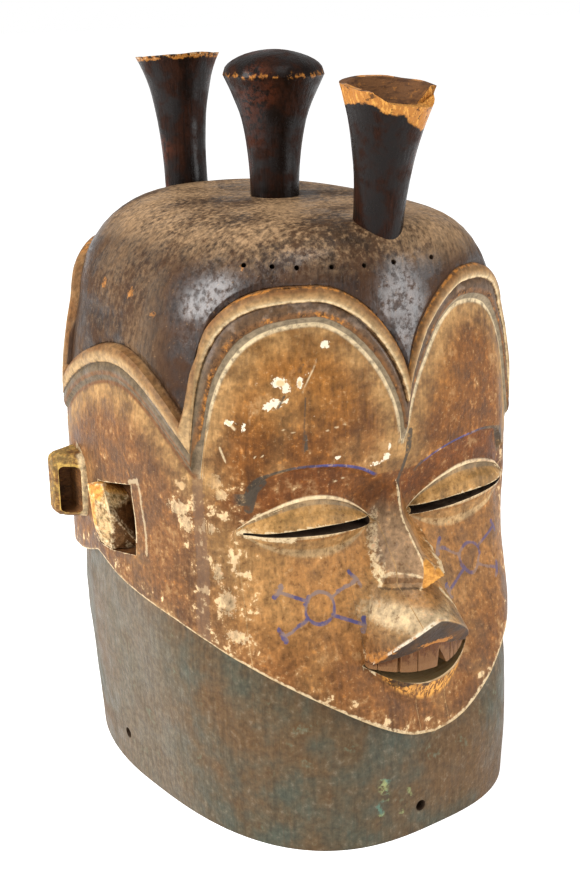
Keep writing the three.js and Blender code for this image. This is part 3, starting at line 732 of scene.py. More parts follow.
def cut_or_join(piece, tools, operation):
    """Cuts the tools out of a piece, or joins them to it, and clears them away."""
    for tool in tools:
        step = piece.modifiers.new("step", "BOOLEAN")
        step.operation = operation
        step.solver = "MANIFOLD"
        step.object = tool
        step.material_mode = "INDEX"
        bpy.context.view_layer.update()
        shaped = bpy.data.meshes.new_from_object(
            piece.evaluated_get(bpy.context.evaluated_depsgraph_get())
        )
        piece.modifiers.clear()
        before, piece.data = piece.data, shaped
        bpy.data.meshes.remove(before)
        bpy.data.objects.remove(tool)
    return piece


def outline_prism(points, axis, first, last):
    """A prism on an outline: axis Y takes (x, z) points, axis X (y, z) and axis Z (x, y)."""
    bm = bmesh.new()
    place = {
        "X": lambda p: (first, p[0], p[1]),
        "Y": lambda p: (p[0], first, p[1]),
        "Z": lambda p: (p[0], p[1], first),
    }[axis]
    face = bm.faces.new([bm.verts.new(place(p)) for p in points])
    grown = bmesh.ops.extrude_face_region(bm, geom=[face])
    way = Vector([(last - first) * (axis == name) for name in "XYZ"])
    moved = [v for v in grown["geom"] if isinstance(v, bmesh.types.BMVert)]
    bmesh.ops.translate(bm, vec=way, verts=moved)
    return bm


def turned(bm, half_turn):
    if half_turn:
        bmesh.ops.rotate(bm, cent=(0, 0, 0), matrix=Matrix.Rotation(math.pi, 3, "Z"), verts=bm.verts)
    return bm


def mirrored(bm, side):
    if side > 0:
        bmesh.ops.scale(bm, vec=(-1, 1, 1), verts=bm.verts)
    return bm


def chamfered(bm, width, segments=2, angle=math.radians(25)):
    """Takes the sharpness off the edges of a block."""
    sharp = [e for e in bm.edges if e.calc_face_angle(0) > angle]
    bmesh.ops.bevel(
        bm, geom=sharp, offset=width, segments=segments, affect="EDGES", profile=0.5, material=-1
    )
    return bm


# The head

def carved_head():
    """The outer skin, and the place (arc, z) of each of its points."""
    arcs = columns()
    rows = rows_of(arcs)
    count_z, count_arc = rows.shape
    bm = bmesh.new()
    bmesh.ops.create_grid(bm, x_segments=count_arc - 1, y_segments=count_z + 1, size=1)
    bm.verts.ensure_lookup_table()
    flat = np.array([v.co for v in bm.verts])
    j = np.rint((flat[:, 0] + 1) / 2 * (count_arc - 1)).astype(int)
    i = np.rint((flat[:, 1] + 1) / 2 * (count_z + 1)).astype(int) - 1
    arc = arcs[j]
    z = rows[np.clip(i, 0, count_z - 1), j]
    points = head_point(arc, z, carving(arc, z))
    inside = clamp((z - EVEN_RIM) / RIM_FADE) * clamp((CROWN - z) / CROWN_FADE)
    rough = sum(depth * uneven(points, size) for size, depth in UNEVENNESS)
    points = head_point(arc, z, carving(arc, z) + rough * inside)
    points[:, 1] = clamp(points[:, 1], -FURTHEST, FURTHEST)
    points[i < 0] = (0, 0, 0)
    points[i >= count_z] = (0, 0, CROWN)
    for vert, point in zip(bm.verts, points):
        vert.co = point
    bmesh.ops.remove_doubles(bm, verts=bm.verts, dist=1e-4)
    return finished_object("helmet_mask_carved", bm), points[i >= 0], arc[i >= 0]


def hollow():
    """The hollow for the wearer's head, open below: rings of a drum, closed by a low dome."""
    tallest, widest = HOLLOW_CLOSED
    shares = np.linspace(0, 1, HOLLOW_RINGS)
    heights = HOLLOW_FLOOR + (tallest * HOLLOW_TOP - HOLLOW_FLOOR) * shares
    bm = bmesh.new()
    bmesh.ops.create_circle(bm, cap_ends=True, segments=HOLLOW_SIDES, radius=1)
    rim = list(bm.edges)
    for _ in heights[1:]:
        grown = bmesh.ops.extrude_edge_only(bm, edges=rim)["geom"]
        rim = [e for e in grown if isinstance(e, bmesh.types.BMEdge)]
        bmesh.ops.translate(
            bm, vec=(0, 0, 1), verts=[v for v in grown if isinstance(v, bmesh.types.BMVert)]
        )
    bmesh.ops.contextual_create(bm, geom=rim)
    power = 2 / SQUARENESS
    for vert in bm.verts:
        z = heights[int(round(vert.co.z))]
        high = clamp((z / HOLLOW_TOP - HOLLOW_DOME) / (1 - HOLLOW_DOME))
        shrink = math.sqrt(1 - (widest * high) ** 2)
        x, y = vert.co.x, vert.co.y
        vert.co = (
            math.copysign(abs(x) ** power, x) * hollow_width_at(z) * shrink,
            math.copysign(abs(y) ** power, y) * hollow_depth_at(z) * shrink,
            z,
        )
    return finished_object("hollow", bm, HOLLOW)


# Openings of a face

def eye_slit(side, half_turn):
    inner, outer = SLIT["inner"], SLIT["outer"]
    shares = np.linspace(0, 1, 9)
    places = mix(inner, outer, shares)
    wide = np.interp(shares, [0, 0.4, 1], [SLIT["wide"], SLIT["wide"], SLIT["narrow"]])
    upper = [(side * x, eye_line(x) + w / 2) for x, w in zip(places, wide)]
    lower = [(side * x, eye_line(x) - w / 2) for x, w in zip(places, wide)]
    cut = outline_prism(upper + lower[::-1], "Y", *CUTS["eye"])
    return finished_object("slit", turned(cut, half_turn), HOLLOW)


def lens(half, above, below, count=24):
    places = np.linspace(-1, 1, count + 1)
    upper = [(half * u, MOUTH["corner"] + above * (1 - u * u)) for u in places]
    lower = [(half * u, MOUTH["corner"] - below * (1 - u * u)) for u in places[1:-1]]
    return upper + lower[::-1]


def mouth_opening(half_turn):
    outline = lens(MOUTH["half"] - 4, MOUTH["underside"], MOUTH["lower_lip"])
    cut = outline_prism(outline, "Y", *CUTS["mouth"])
    return finished_object("mouth", turned(cut, half_turn), MOUTH_CUT)


def tooth_cut(x, wide):
    """A groove between two teeth, cut into the front of the row."""
    front = -TEETH["front"] + TEETH["sweep"] * (x / TEETH["half"]) ** 2
    before, floor = front - TOOTH_CUT["before"], front + TOOTH_CUT["depth"]
    groove = [
        (x - wide, before), (x + wide, before), (x + wide / 2, front), (x, floor),
        (x - wide / 2, front),
    ]
    levels = TEETH["bottom"] - TOOTH_CUT["below"], TOOTH_CUT["top"]
    return finished_object("tooth_cut", outline_prism(groove, "Z", *levels), TOOTH)


def teeth(half_turn):
    """The row of teeth, cut to the mouth's roof, with the gap of a missing one."""
    places = np.linspace(-1, 1, 29)
    front = [(TEETH["half"] * u, -TEETH["front"] + TEETH["sweep"] * u * u) for u in places]
    back = [(TEETH["half"] * u, -TEETH["back"] + TEETH["sweep"] * u * u) for u in places]
    row = finished_object(
        "teeth", outline_prism(front + back[::-1], "Z", TEETH["bottom"], TEETH["top"]), TOOTH
    )
    roots = lens(MOUTH["half"] - TEETH["roots"], MOUTH["underside"] + TEETH["roots"], 4)
    for name, outline, way in (
        ("roots", roots, "INTERSECT"), ("gap", MISSING_TOOTH, "DIFFERENCE")
    ):
        cut = outline_prism(outline, "Y", *CUTS["teeth"])
        cut_or_join(row, [finished_object(name, cut, TOOTH)], way)
    cut_or_join(row, [tooth_cut(x, wide) for x, wide in TOOTH_CUTS], "DIFFERENCE")
    if half_turn:
        row.data.transform(Matrix.Rotation(math.pi, 4, "Z"))
    return row


# Ears

def ear_pocket(side):
    bm = outline_prism(POCKET["outline"], "X", EAR_PLANE - 30, EAR_PLANE + POCKET["depth"])
    return finished_object("pocket", mirrored(bm, side), CUP)


def ear_stump(side):
    """What is left of the broken ear: a rough hull of its corners."""
    bm = bmesh.new()
    for corner in STUMP:
        bm.verts.new(corner)
    bmesh.ops.convex_hull(bm, input=bm.verts)
    torn(bm, cuts=4, depth=0.7)
    return finished_object("stump", mirrored(bm, side), EAR)


def torn(bm, cuts, depth):
    """Divides the faces of a block and roughens them."""
    bmesh.ops.subdivide_edges(bm, edges=bm.edges, cuts=cuts, use_grid_fill=True)
    bm.normal_update()
    for vert in bm.verts:
        vert.co += vert.normal * depth * noise.noise(vert.co / TORN_SIZE)


def rounded_block(outline, levels, corner):
    """A prism along Z with its edges above and below rounded."""
    bm = outline_prism(outline, "Z", *levels)
    level_edges = [e for e in bm.edges if abs(e.verts[0].co.z - e.verts[1].co.z) < 1]
    bmesh.ops.bevel(
        bm, geom=level_edges, offset=corner, segments=3, affect="EDGES", profile=0.5, material=-1
    )
    return chamfered(bm, 0.6, 1)


def ear_cup(side):
    bm = rounded_block(BACK_EAR["block"], BACK_EAR["levels"], BACK_EAR["corner"])
    torn(bm, cuts=3, depth=0.3)
    return finished_object("ear", mirrored(bm, side), EAR)


def ear_cup_hollow(side):
    bm = rounded_block(BACK_EAR["hollow"], BACK_EAR["hollow_levels"], BACK_EAR["hollow_corner"])
    return finished_object("ear_hollow", mirrored(bm, side), CUP)


# Posts

def post_profile(shape):
    """Half of the post's outline, from the axis below to the axis above, as (radius, level)."""
    neck, flare, height = shape["neck"], shape["flare"], shape["height"]
    outline = [(0, -POST_ROOT), (neck, -POST_ROOT)]
    for share in np.linspace(0, 1, 15) ** 0.8:
        outline.append((neck + (flare - neck) * share ** shape["power"], share * height))
    if shape["cap"]:
        for turn in np.radians(np.linspace(18, 90, 9)):
            outline.append((flare * math.cos(turn) ** 1.1, height + shape["cap"] * math.sin(turn)))
    else:
        outline.append((flare - CUP_WALL, height))
        for share in (0.35, 0.7, 1):
            radius = mix(flare - CUP_WALL, flare * 0.4, share)
            outline.append((radius, height - CUP_DEPTH * share**0.8))
        outline.append((0, height - CUP_DEPTH - 2))
    return outline


def in_post_place(bm, shape):
    lean = Matrix.Rotation(math.radians(-shape["lean"]), 3, "X")
    bmesh.ops.rotate(bm, cent=(0, 0, 0), matrix=lean, verts=bm.verts)
    bmesh.ops.translate(bm, vec=(POST_X, shape["y"], shape["z"]), verts=bm.verts)
    return bm


def post(shape):
    bm = bmesh.new()
    rail = [bm.verts.new((radius, 0, level)) for radius, level in post_profile(shape)]
    edges = [bm.edges.new(pair) for pair in zip(rail, rail[1:])]
    bmesh.ops.spin(
        bm, geom=rail + edges, cent=(0, 0, 0), axis=(0, 0, 1), angle=2 * math.pi,
        steps=POST_SIDES, use_merge=True,
    )
    bmesh.ops.remove_doubles(bm, verts=bm.verts, dist=1e-3)
    for vert in bm.verts:
        x, y, z = vert.co
        size, height = POST_FACETS["size"], POST_FACETS["height"]
        facet = noise.noise(Vector((x / size, y / size, z / height + shape["y"])))
        vert.co.xy *= 1 + POST_FACETS["depth"] * facet
        if vert.co.z > shape["height"] - 1 and not shape["cap"]:
            turn = math.atan2(vert.co.y, vert.co.x)
            wave = noise.noise(Vector((turn * RIM_WAVES["turn"], shape["y"], 0)))
            vert.co.z += RIM_WAVES["depth"] * wave - RIM_WAVES["lower"]
    bmesh.ops.recalc_face_normals(bm, faces=bm.faces)
    bm.normal_update()
    for face in bm.faces:
        centre = face.calc_center_median()
        inwards = face.normal.xy.dot(centre.xy) < 0.2 * centre.xy.length
        in_cup = not shape["cap"] and centre.z < shape["height"] - 0.5 and inwards
        face.material_index = CUP if in_cup and centre.z > 0 and face.normal.z > 0 else BLACK
    return finished_object("post", in_post_place(bm, shape), None)


def broken_rim(shape):
    """The cut that leaves the front post's rim as it is broken."""
    outline = [(x, shape["height"] + up) for x, up in RIM_BREAK]
    bm = outline_prism(outline, "Y", -shape["flare"] * 2, -shape["flare"] * 0.3)
    return finished_object("break", in_post_place(bm, shape), RAW)


# Holes

def round_hole(radius, length, centre, way, finish=HOLLOW):
    bm = bmesh.new()
    bmesh.ops.create_cone(
        bm, cap_ends=True, segments=16, radius1=radius, radius2=radius, depth=length
    )
    turn = Vector((0, 0, 1)).rotation_difference(Vector(way)).to_matrix()
    bmesh.ops.rotate(bm, cent=(0, 0, 0), matrix=turn, verts=bm.verts)
    bmesh.ops.translate(bm, vec=centre, verts=bm.verts)
    return finished_object("hole", bm, finish)


def costume_holes():
    radius, length = COSTUME_HOLE["radius"], COSTUME_HOLE["length"]
    width, depth = section(np.array(COSTUME_HOLE["z"], float), False)
    holes = []
    for end in (-1, 1):
        holes.append(round_hole(radius, length, (0, end * float(depth), COSTUME_HOLE["z"]), (0, 1, 0)))
        side = (end * float(width), -end * COSTUME_HOLE["side_y"], COSTUME_HOLE["side_z"])
        holes.append(round_hole(radius, length, side, (1, 0, 0)))
    return holes


def forehead_holes():
    radius, length, z = (FOREHEAD_HOLE[key] for key in ("radius", "length", "z"))
    return [round_hole(radius, length, (x, y, z), (x * 0.6, y, 40)) for x, y in FOREHEAD_HOLES]


# What the finishes read from the surface

def store(mesh, name, values):
    layer = mesh.attributes.new(name, "FLOAT", "POINT")
    layer.data.foreach_set("value", np.asarray(values, np.float32))


def off_strokes(arc, z, strokes):
    """Distance in millimetres from the edge of the nearest stroke."""
    nearest = np.full(len(arc), 50.0)
    for (first_arc, first_z), (last_arc, last_z), width in strokes:
        run, rise = last_arc - first_arc, last_z - first_z
        share = clamp(((arc - first_arc) * run + (z - first_z) * rise) / (run * run + rise * rise))
        away = np.hypot(arc - first_arc - share * run, z - first_z - share * rise)
        nearest = np.minimum(nearest, away - width / 2)
    return nearest


def off_patches(arc, z, patches):
    """Distance from the outline of the nearest patch, as a share of its half size."""
    nearest = np.full(len(arc), 9.0)
    for (middle_arc, middle_z), (half_arc, half_z) in patches:
        away = np.hypot((arc - middle_arc) / half_arc, (z - middle_z) / half_z)
        nearest = np.minimum(nearest, away - 1)
    return nearest


def mark_places(piece, points, arcs):
    """Gives the surface its place on the head and its distance from the carved lines."""
    mesh = piece.data
    tree = KDTree(len(points))
    for index, point in enumerate(points):
        tree.insert(point * MM, index)
    tree.balance()
    arc = arcs[[tree.find(v.co)[1] for v in mesh.vertices]]
    z = np.array([v.co.z for v in mesh.vertices]) / MM
    a = fold(arc)
    store(mesh, "front", np.abs(arc) <= QUARTER)
    store(mesh, "jaw", z - jaw_at(arc))
    store(mesh, "band", band_place(arc, z))
    lean = brow_line(a + 0.5) - brow_line(a - 0.5)
    store(mesh, "brow", (z - brow_line(a)) / np.hypot(1, lean))
    beside_eye = np.abs(along_eye(a)) > 0.99
    store(mesh, "eye", np.where(beside_eye, 3, clamp(eye_share(a, z)[0], -3, 3)))
    store(mesh, "lip", lip_place(a, z))
    store(mesh, "edge", standing_edges(mesh))
    store(mesh, "raw", 1 - clamp(off_nose_break(arc, z)[0]))
    layer = mesh.uv_layers.new(name="place")
    corners = np.array([loop.vertex_index for loop in mesh.loops])
    across = side_of(arc) * a
    for label, strokes in STROKES.items():
        store(mesh, label, off_strokes(across, z, strokes))
    for label, patches in PATCHES.items():
        store(mesh, label, off_patches(across, z, patches))
    layer.data.foreach_set("uv", np.stack([across[corners], z[corners]], axis=1).ravel() * MM)


def band_place(arc, z):
    """Place across the hairline's bands: below 0 centimetres from the face's edge, then up to 1
    over the dark band, up to 2 over the cream band, and centimetres again in the hair."""
    face, dark, cream = hairline(arc)
    bands = [-away_from(arc, z, 0), (z - face) / (dark - face), 1 + (z - dark) / (cream - dark)]
    return np.select([z < face, z < dark, z < cream], bands, 2 + away_from(arc, z, 2))


def lip_place(a, z):
    """Place over the lips: 0 at the lower edge, 1 at the lower lip, 2 at the upper lip's
    underside, 3 at its crest, and centimetres beyond them."""
    rises = (-MOUTH["lower_edge"], -MOUTH["lower_lip"], MOUTH["underside"], MOUTH["crest"])
    levels = [mouth_curve(a, rise) for rise in rises]
    place = (z - levels[0]) / 10
    for count, (low, high) in enumerate(zip(levels, levels[1:])):
        place = np.where(z > low, count + (z - low) / np.maximum(high - low, 1e-6), place)
    place = np.where(z > levels[3], 3 + (z - levels[3]) / 10, place)
    return np.where(a > MOUTH["half"] - 0.5, -3, place)


def standing_edges(mesh):
    """How sharply the surface stands out at each point: 1 at a square edge, below 0 in a groove."""
    bm = bmesh.new()
    bm.from_mesh(mesh)
    turns = [
        max((e.calc_face_angle_signed(0) for e in v.link_edges), default=0) for v in bm.verts
    ]
    bm.free()
    return np.array(turns) / (math.pi / 2)


def away_from(arc, z, line):
    """Distance of places from one hairline curve, in centimetres."""
    stations = np.arange(-2 * QUARTER, 2 * QUARTER, 0.5)
    curve = hairline(stations)[line]
    tree = KDTree(len(stations))
    for index, place in enumerate(zip(stations, curve)):
        tree.insert((*place, 0), index)
    tree.balance()
    return np.array([tree.find((a, h, 0))[2] for a, h in zip(arc, z)]) / 10


def helmet_mask():
    mask, points, arcs = carved_head()
    sides = (-1, 1)
    for form, operation in (
        (ear_pocket, "DIFFERENCE"), (ear_stump, "UNION"), (ear_cup, "UNION"),
        (ear_cup_hollow, "DIFFERENCE"),
    ):
        cut_or_join(mask, [form(side) for side in sides], operation)
    for shape in POSTS:
        stands = post(shape)
        if shape["broken"]:
            cut_or_join(stands, [broken_rim(shape)], "DIFFERENCE")
        cut_or_join(mask, [stands], "UNION")
    cut_or_join(mask, [hollow()], "DIFFERENCE")
    for half_turn in (False, True):
        openings = [eye_slit(side, half_turn) for side in sides] + [mouth_opening(half_turn)]
        cut_or_join(mask, openings, "DIFFERENCE")
        cut_or_join(mask, [teeth(half_turn)], "UNION")
    cut_or_join(mask, costume_holes() + forehead_holes(), "DIFFERENCE")
    mark_places(mask, points, arcs)
    mask.data.polygons.foreach_set("use_smooth", [True] * len(mask.data.polygons))
    mask.data.set_sharp_from_angle(angle=SHARP_ANGLE)
    return mask


# Finishes

class Work:
    """Lays out the nodes of one material or node group and joins them."""

    def __init__(self, tree):
        self.tree = tree

    def add(self, kind, **settings):
        node = self.tree.nodes.new(kind)
        for key, value in settings.items():
            setattr(node, key, value)
        return node

    def wire(self, value, socket):
        if isinstance(value, bpy.types.NodeSocket):
            self.tree.links.new(value, socket)
        elif socket.type == "RGBA" and len(value) == 3:
            socket.default_value = (*value, 1)
        else:
            socket.default_value = value

    def math(self, operation, *values, clamp=False):
        node = self.add("ShaderNodeMath", operation=operation, use_clamp=clamp)
        for value, socket in zip(values, node.inputs):
            self.wire(value, socket)
        return node.outputs[0]

    def chain(self, operation, values):
        found = values[0]
        for value in values[1:]:
            found = self.math(operation, found, value)
        return found

    def total(self, *values):
        return self.chain("ADD", values)

    def product(self, *values):
        return self.chain("MULTIPLY", values)

    def most(self, *masks):
        return self.chain("MAXIMUM", masks)

    def vector(self, operation, *values):
        node = self.add("ShaderNodeVectorMath", operation=operation)
        for value, socket in zip(values, node.inputs):
            self.wire(value, socket)
        length = operation in ("LENGTH", "DISTANCE", "DOT_PRODUCT")
        return node.outputs["Value" if length else "Vector"]

    def between(self, value, low, high, first=0.0, last=1.0):
        """Rises softly from first to last while the value goes from low to high."""
        node = self.add("ShaderNodeMapRange", interpolation_type="SMOOTHSTEP")
        for given, socket in zip((value, low, high, first, last), node.inputs):
            self.wire(given, socket)
        return node.outputs[0]

    def window(self, value, start, full, last, end):
        """1 while the value is between full and last, and 0 before start and after end."""
        return self.product(self.between(value, start, full), self.between(value, end, last))

    def noise(self, place, size, detail=3.0, roughness=0.5):
        node = self.add("ShaderNodeTexNoise")
        self.wire(place, node.inputs["Vector"])
        node.inputs["Scale"].default_value = 1 / (size * MM)
        node.inputs["Detail"].default_value = detail
        node.inputs["Roughness"].default_value = roughness
        return node.outputs[0]

    def blend(self, share, under, over, way="MIX"):
        node = self.add("ShaderNodeMix", data_type="RGBA", blend_type=way)
        self.wire(share, node.inputs[0])
        self.wire(TONES.get(under, under) if isinstance(under, str) else under, node.inputs[6])
        self.wire(TONES.get(over, over) if isinstance(over, str) else over, node.inputs[7])
        return node.outputs[2]

    def ramp(self, value, stops):
        """Colours at stops (place from 0 to 1, tone)."""
        node = self.add("ShaderNodeValToRGB")
        points = node.color_ramp.elements
        while len(points) < len(stops):
            points.new(0.5)
        for point, (place, tone) in zip(points, stops):
            point.position = place
            point.color = (*TONES[tone], 1)
        self.wire(value, node.inputs[0])
        return node.outputs[0]

    def parts(self, place):
        node = self.add("ShaderNodeSeparateXYZ")
        self.wire(place, node.inputs[0])
        return node.outputs

    def group(self, tree, **values):
        node = self.add("ShaderNodeGroup", node_tree=tree)
        for label, value in values.items():
            self.wire(value, node.inputs[label])
        return node.outputs

    def reading(self, name):
        node = self.add("ShaderNodeAttribute", attribute_type="GEOMETRY", attribute_name=name)
        return node.outputs["Fac"]

    def body_place(self):
        """Object coordinates in metres."""
        return self.add("ShaderNodeTexCoord").outputs["Object"]

    def body_parts(self):
        """x, y and z in millimetres."""
        return self.parts(self.vector("MULTIPLY", self.body_place(), (1 / MM,) * 3))

    def head_place(self):
        """(arc, z) on the head in millimetres."""
        spread = self.add("ShaderNodeAttribute", attribute_type="GEOMETRY", attribute_name="place")
        return self.vector("MULTIPLY", spread.outputs["Vector"], (1 / MM,) * 3)

    def grey(self, value):
        node = self.add("ShaderNodeCombineColor")
        for socket in node.inputs[:3]:
            self.wire(value, socket)
        return node.outputs[0]


def shared_effect(name, takes, gives, build):
    """A node group with named inputs and outputs."""
    kinds = {"value": "NodeSocketFloat", "place": "NodeSocketVector", "colour": "NodeSocketColor"}
    tree = bpy.data.node_groups.new(name, "ShaderNodeTree")
    for label, kind, value in takes:
        socket = tree.interface.new_socket(name=label, in_out="INPUT", socket_type=kinds[kind])
        if value is not None:
            socket.default_value = value
    for label, kind in gives:
        tree.interface.new_socket(name=label, in_out="OUTPUT", socket_type=kinds[kind])
    work = Work(tree)
    taken = work.add("NodeGroupInput").outputs
    given = work.add("NodeGroupOutput").inputs
    for label, value in build(work, taken).items():
        work.wire(value, given[label])
    return tree


def build_streaks(work, taken):
    """Fine streaks that run along one way, as grain and dry brush marks do."""
    stretched = work.add("ShaderNodeMapping")
    work.wire(work.body_place(), stretched.inputs["Vector"])
    work.wire(work.vector("DIVIDE", (1 / MM,) * 3, taken["Size"]), stretched.inputs["Scale"])
    fine = work.noise(stretched.outputs[0], 1 / MM, 4, 0.62)
    return {"Streaks": fine, "Lines": work.between(fine, taken["Start"], taken["End"])}


def ragged_shift(work, taken):
    return work.product(work.math("SUBTRACT", taken["Rough"], 0.5), taken["Ragged"])


def build_patch(work, taken):
    """A ragged patch around a centre."""
    off = work.vector("SUBTRACT", taken["Place"], taken["Centre"])
    away = work.vector("LENGTH", work.vector("DIVIDE", off, taken["Size"]))
    reach = work.total(away, ragged_shift(work, taken))
    high = work.total(1.0, taken["Soft"])
    low = work.math("SUBTRACT", 1.0, taken["Soft"])
    return {"Mask": work.between(reach, high, low)}


def build_stroke(work, taken):
    """A stroke from one place to another, of a width, with a ragged edge."""
    way = work.vector("SUBTRACT", taken["End"], taken["Start"])
    off = work.vector("SUBTRACT", taken["Place"], taken["Start"])
    length = work.vector("DOT_PRODUCT", way, way)
    share = work.math("DIVIDE", work.vector("DOT_PRODUCT", off, way), length, clamp=True)
    scaled = work.add("ShaderNodeVectorMath", operation="SCALE")
    work.wire(way, scaled.inputs[0])
    work.wire(share, scaled.inputs["Scale"])
    away = work.vector("DISTANCE", off, scaled.outputs[0])
    half = work.product(taken["Width"], 0.5)
    reach = work.math("SUBTRACT", work.total(away, ragged_shift(work, taken)), half)
    return {"Mask": work.between(reach, 0.35, -0.35)}


def build_loss(work, taken):
    """Scattered losses of a thin coat, in large flakes and small specks."""
    where = work.total(work.product(taken["Flakes"], 0.65), work.product(taken["Rough"], 0.35))
    level = work.total(where, work.product(taken["Amount"], 0.25))
    return {"Mask": work.between(level, 0.6, 0.63), "Soft": work.between(level, 0.5, 0.66)}


def build_worn_edge(work, taken):
    """Wear along edges that stand out, broken up by the grain."""
    level = work.product(taken["Edge"], work.between(taken["Rough"], 0.3, 0.7, 0.5, 1.6))
    return {"Mask": work.between(level, taken["Start"], taken["End"])}


def shared_effects():
    flat = (0, 0, 0)
    place, rough = ("Place", "place", flat), ("Rough", "value", 0.5)
    mask = [("Mask", "value")]
    return {
        "streaks": shared_effect(
            "streaky_grain",
            [("Size", "place", (2, 2, 30)), ("Start", "value", 0.5), ("End", "value", 0.7)],
            [("Streaks", "value"), ("Lines", "value")], build_streaks,
        ),
        "patch": shared_effect(
            "ragged_patch",
            [place, rough, ("Centre", "place", flat), ("Size", "place", (1, 1, 1)),
             ("Ragged", "value", 1.2), ("Soft", "value", 0.12)],
            mask, build_patch,
        ),
        "stroke": shared_effect(
            "painted_stroke",
            [place, rough, ("Start", "place", flat), ("End", "place", flat),
             ("Width", "value", 2), ("Ragged", "value", 1)],
            mask, build_stroke,
        ),
        "loss": shared_effect(
            "paint_loss", [rough, ("Flakes", "value", 0.5), ("Amount", "value", 0)],
            mask + [("Soft", "value")], build_loss,
        ),
        "worn_edge": shared_effect(
            "worn_edge",
            [rough, ("Edge", "value", 0), ("Start", "value", 0.2), ("End", "value", 0.6)],
            mask, build_worn_edge,
        ),
    }


RUBBED_ROUGHNESS = 0.22


class Wood(Work):
    """The nodes of one finish of the wood: its shader, the noises that all its layers use, and its
    colour, which is built up layer by layer."""

    def __init__(self, material, effects, tone):
        material.use_nodes = True
        super().__init__(material.node_tree)
        self.effects = effects
        self.shader = material.node_tree.nodes["Principled BSDF"]
        self.body = self.body_place()
        self.big = self.noise(self.body, 55, 2)
        self.middle = self.noise(self.body, 16, 4, 0.58)
        self.fine = self.noise(self.body, 3.6, 4, 0.65)
        self.torn = self.noise(self.body, 2.0, 3, 0.7)
        self.colour = TONES[tone]

    def lay(self, tone, *shares):
        """Lays a tone over the colour, as far as the product of the shares covers it."""
        self.colour = self.blend(self.product(*shares), self.colour, tone)

    def deepen(self, pattern, share):
        """Darkens and lightens the colour by a pattern around 0.5."""
        shade = self.grey(self.between(pattern, 0.3, 0.7))
        self.colour = self.blend(share, self.colour, shade, "OVERLAY")

    def patch(self, place, centre, size, ragged=1.2, soft=0.12):
        return self.group(
            self.effects["patch"], Place=place, Rough=self.torn, Centre=(*centre, 0),
            Size=(*size, 1), Ragged=ragged, Soft=soft,
        )["Mask"]

    def stroke(self, place, start, end, width, ragged=1.0):
        return self.group(
            self.effects["stroke"], Place=place, Rough=self.torn, Start=(*start, 0),
            End=(*end, 0), Width=width, Ragged=ragged,
        )["Mask"]

    def ragged(self, name, amount):
        shift = self.product(self.math("SUBTRACT", self.torn, 0.5), amount)
        return self.total(self.reading(name), shift)

    def strokes(self, name, ragged=1.0):
        return self.between(self.ragged(name, ragged), 0.6, -0.2)

    def patches(self, name, ragged=1.2, soft=0.12):
        return self.between(self.ragged(name, ragged), soft, -soft)

    def worn_edge(self, start, end):
        return self.group(
            self.effects["worn_edge"], Rough=self.fine, Edge=self.reading("edge"), Start=start,
            End=end,
        )["Mask"]

    def streaks(self, size, start=0.5, end=0.7):
        return self.group(self.effects["streaks"], Size=size, Start=start, End=end)

    def finish(self, roughness, height, gloss=0.15, rubbed=0.0):
        """Joins colour, roughness, the rubbed shine and height, in millimetres, to the shader."""
        self.shader.inputs["Specular IOR Level"].default_value = gloss
        self.shader.inputs["Coat Roughness"].default_value = RUBBED_ROUGHNESS
        self.wire(rubbed, self.shader.inputs["Coat Weight"])
        self.wire(self.colour, self.shader.inputs["Base Color"])
        self.wire(roughness, self.shader.inputs["Roughness"])
        bump = self.add("ShaderNodeBump")
        bump.inputs["Distance"].default_value = MM
        self.wire(height, bump.inputs["Height"])
        self.wire(bump.outputs[0], self.shader.inputs["Normal"])


def folded_scar(wood, arc, z):
    """The scar pattern of both cheeks: a ring with four forks, each with a bar at its end."""
    lift = wood.product(wood.math("SIGN", arc), SCAR["lift"])
    sway = wood.between(wood.middle, 0.2, 0.8, -2.5, 2.5)
    p = wood.total(wood.math("ABSOLUTE", arc), -SCAR["arc"], sway)
    inward = wood.product(wood.math("MINIMUM", p, 0.0), SCAR["inward"])
    p = wood.math("ABSOLUTE", wood.total(wood.math("MAXIMUM", p, 0.0), inward))
    q = wood.math("SUBTRACT", wood.total(z, -SCAR["z"], wood.product(sway, 0.4)), lift)
    joined = wood.add("ShaderNodeCombineXYZ")
    wood.wire(p, joined.inputs[0])
    wood.wire(wood.math("ABSOLUTE", q), joined.inputs[1])
    corner = joined.outputs[0]
    off_ring = wood.math("SUBTRACT", wood.vector("LENGTH", corner), SCAR["ring"])
    half = SCAR["line"] / 2
    ring = wood.between(wood.math("ABSOLUTE", off_ring), half + 0.35, half - 0.35)
    (x, y), (sx, sy), bar = SCAR["reach"], SCAR["start"], SCAR["bar"]
    way = Vector((x - sx, y - sy)).normalized() * bar
    fork = wood.stroke(corner, (sx, sy), (x, y), SCAR["line"], 0.8)
    across = (x - way.y, y + way.x), (x + way.y, y - way.x)
    return wood.most(ring, fork, wood.stroke(corner, *across, SCAR["line"] + 0.5, 0.8))


def paint_face(wood, arc, z, aside, front):
    """The worn ochre of the faces."""
    level = wood.math("DIVIDE", wood.total(z, wood.product(wood.middle, 14)), 400)
    wood.colour = wood.ramp(level, [
        (0.2, "chin"), (0.32, "chin"), (0.4, "cheek"), (0.5, "cheek"), (0.56, "socket"),
        (0.6, "low_forehead"), (0.66, "low_forehead"), (0.72, "ochre"), (0.82, "ochre"),
        (0.88, "pale_ochre"),
    ])
    wood.lay("side_face", wood.between(aside, 112, 145))
    wood.lay("deep_ochre", wood.between(wood.middle, 0.48, 0.68, 0, 0.5))
    wood.lay("pale_ochre", wood.between(wood.big, 0.5, 0.68, 0, 0.45))
    right_side = wood.product(wood.between(arc, 25, 60, 0, 0.85), wood.between(z, 175, 235, 0.5, 1))
    wood.lay("deep_ochre", right_side, front)


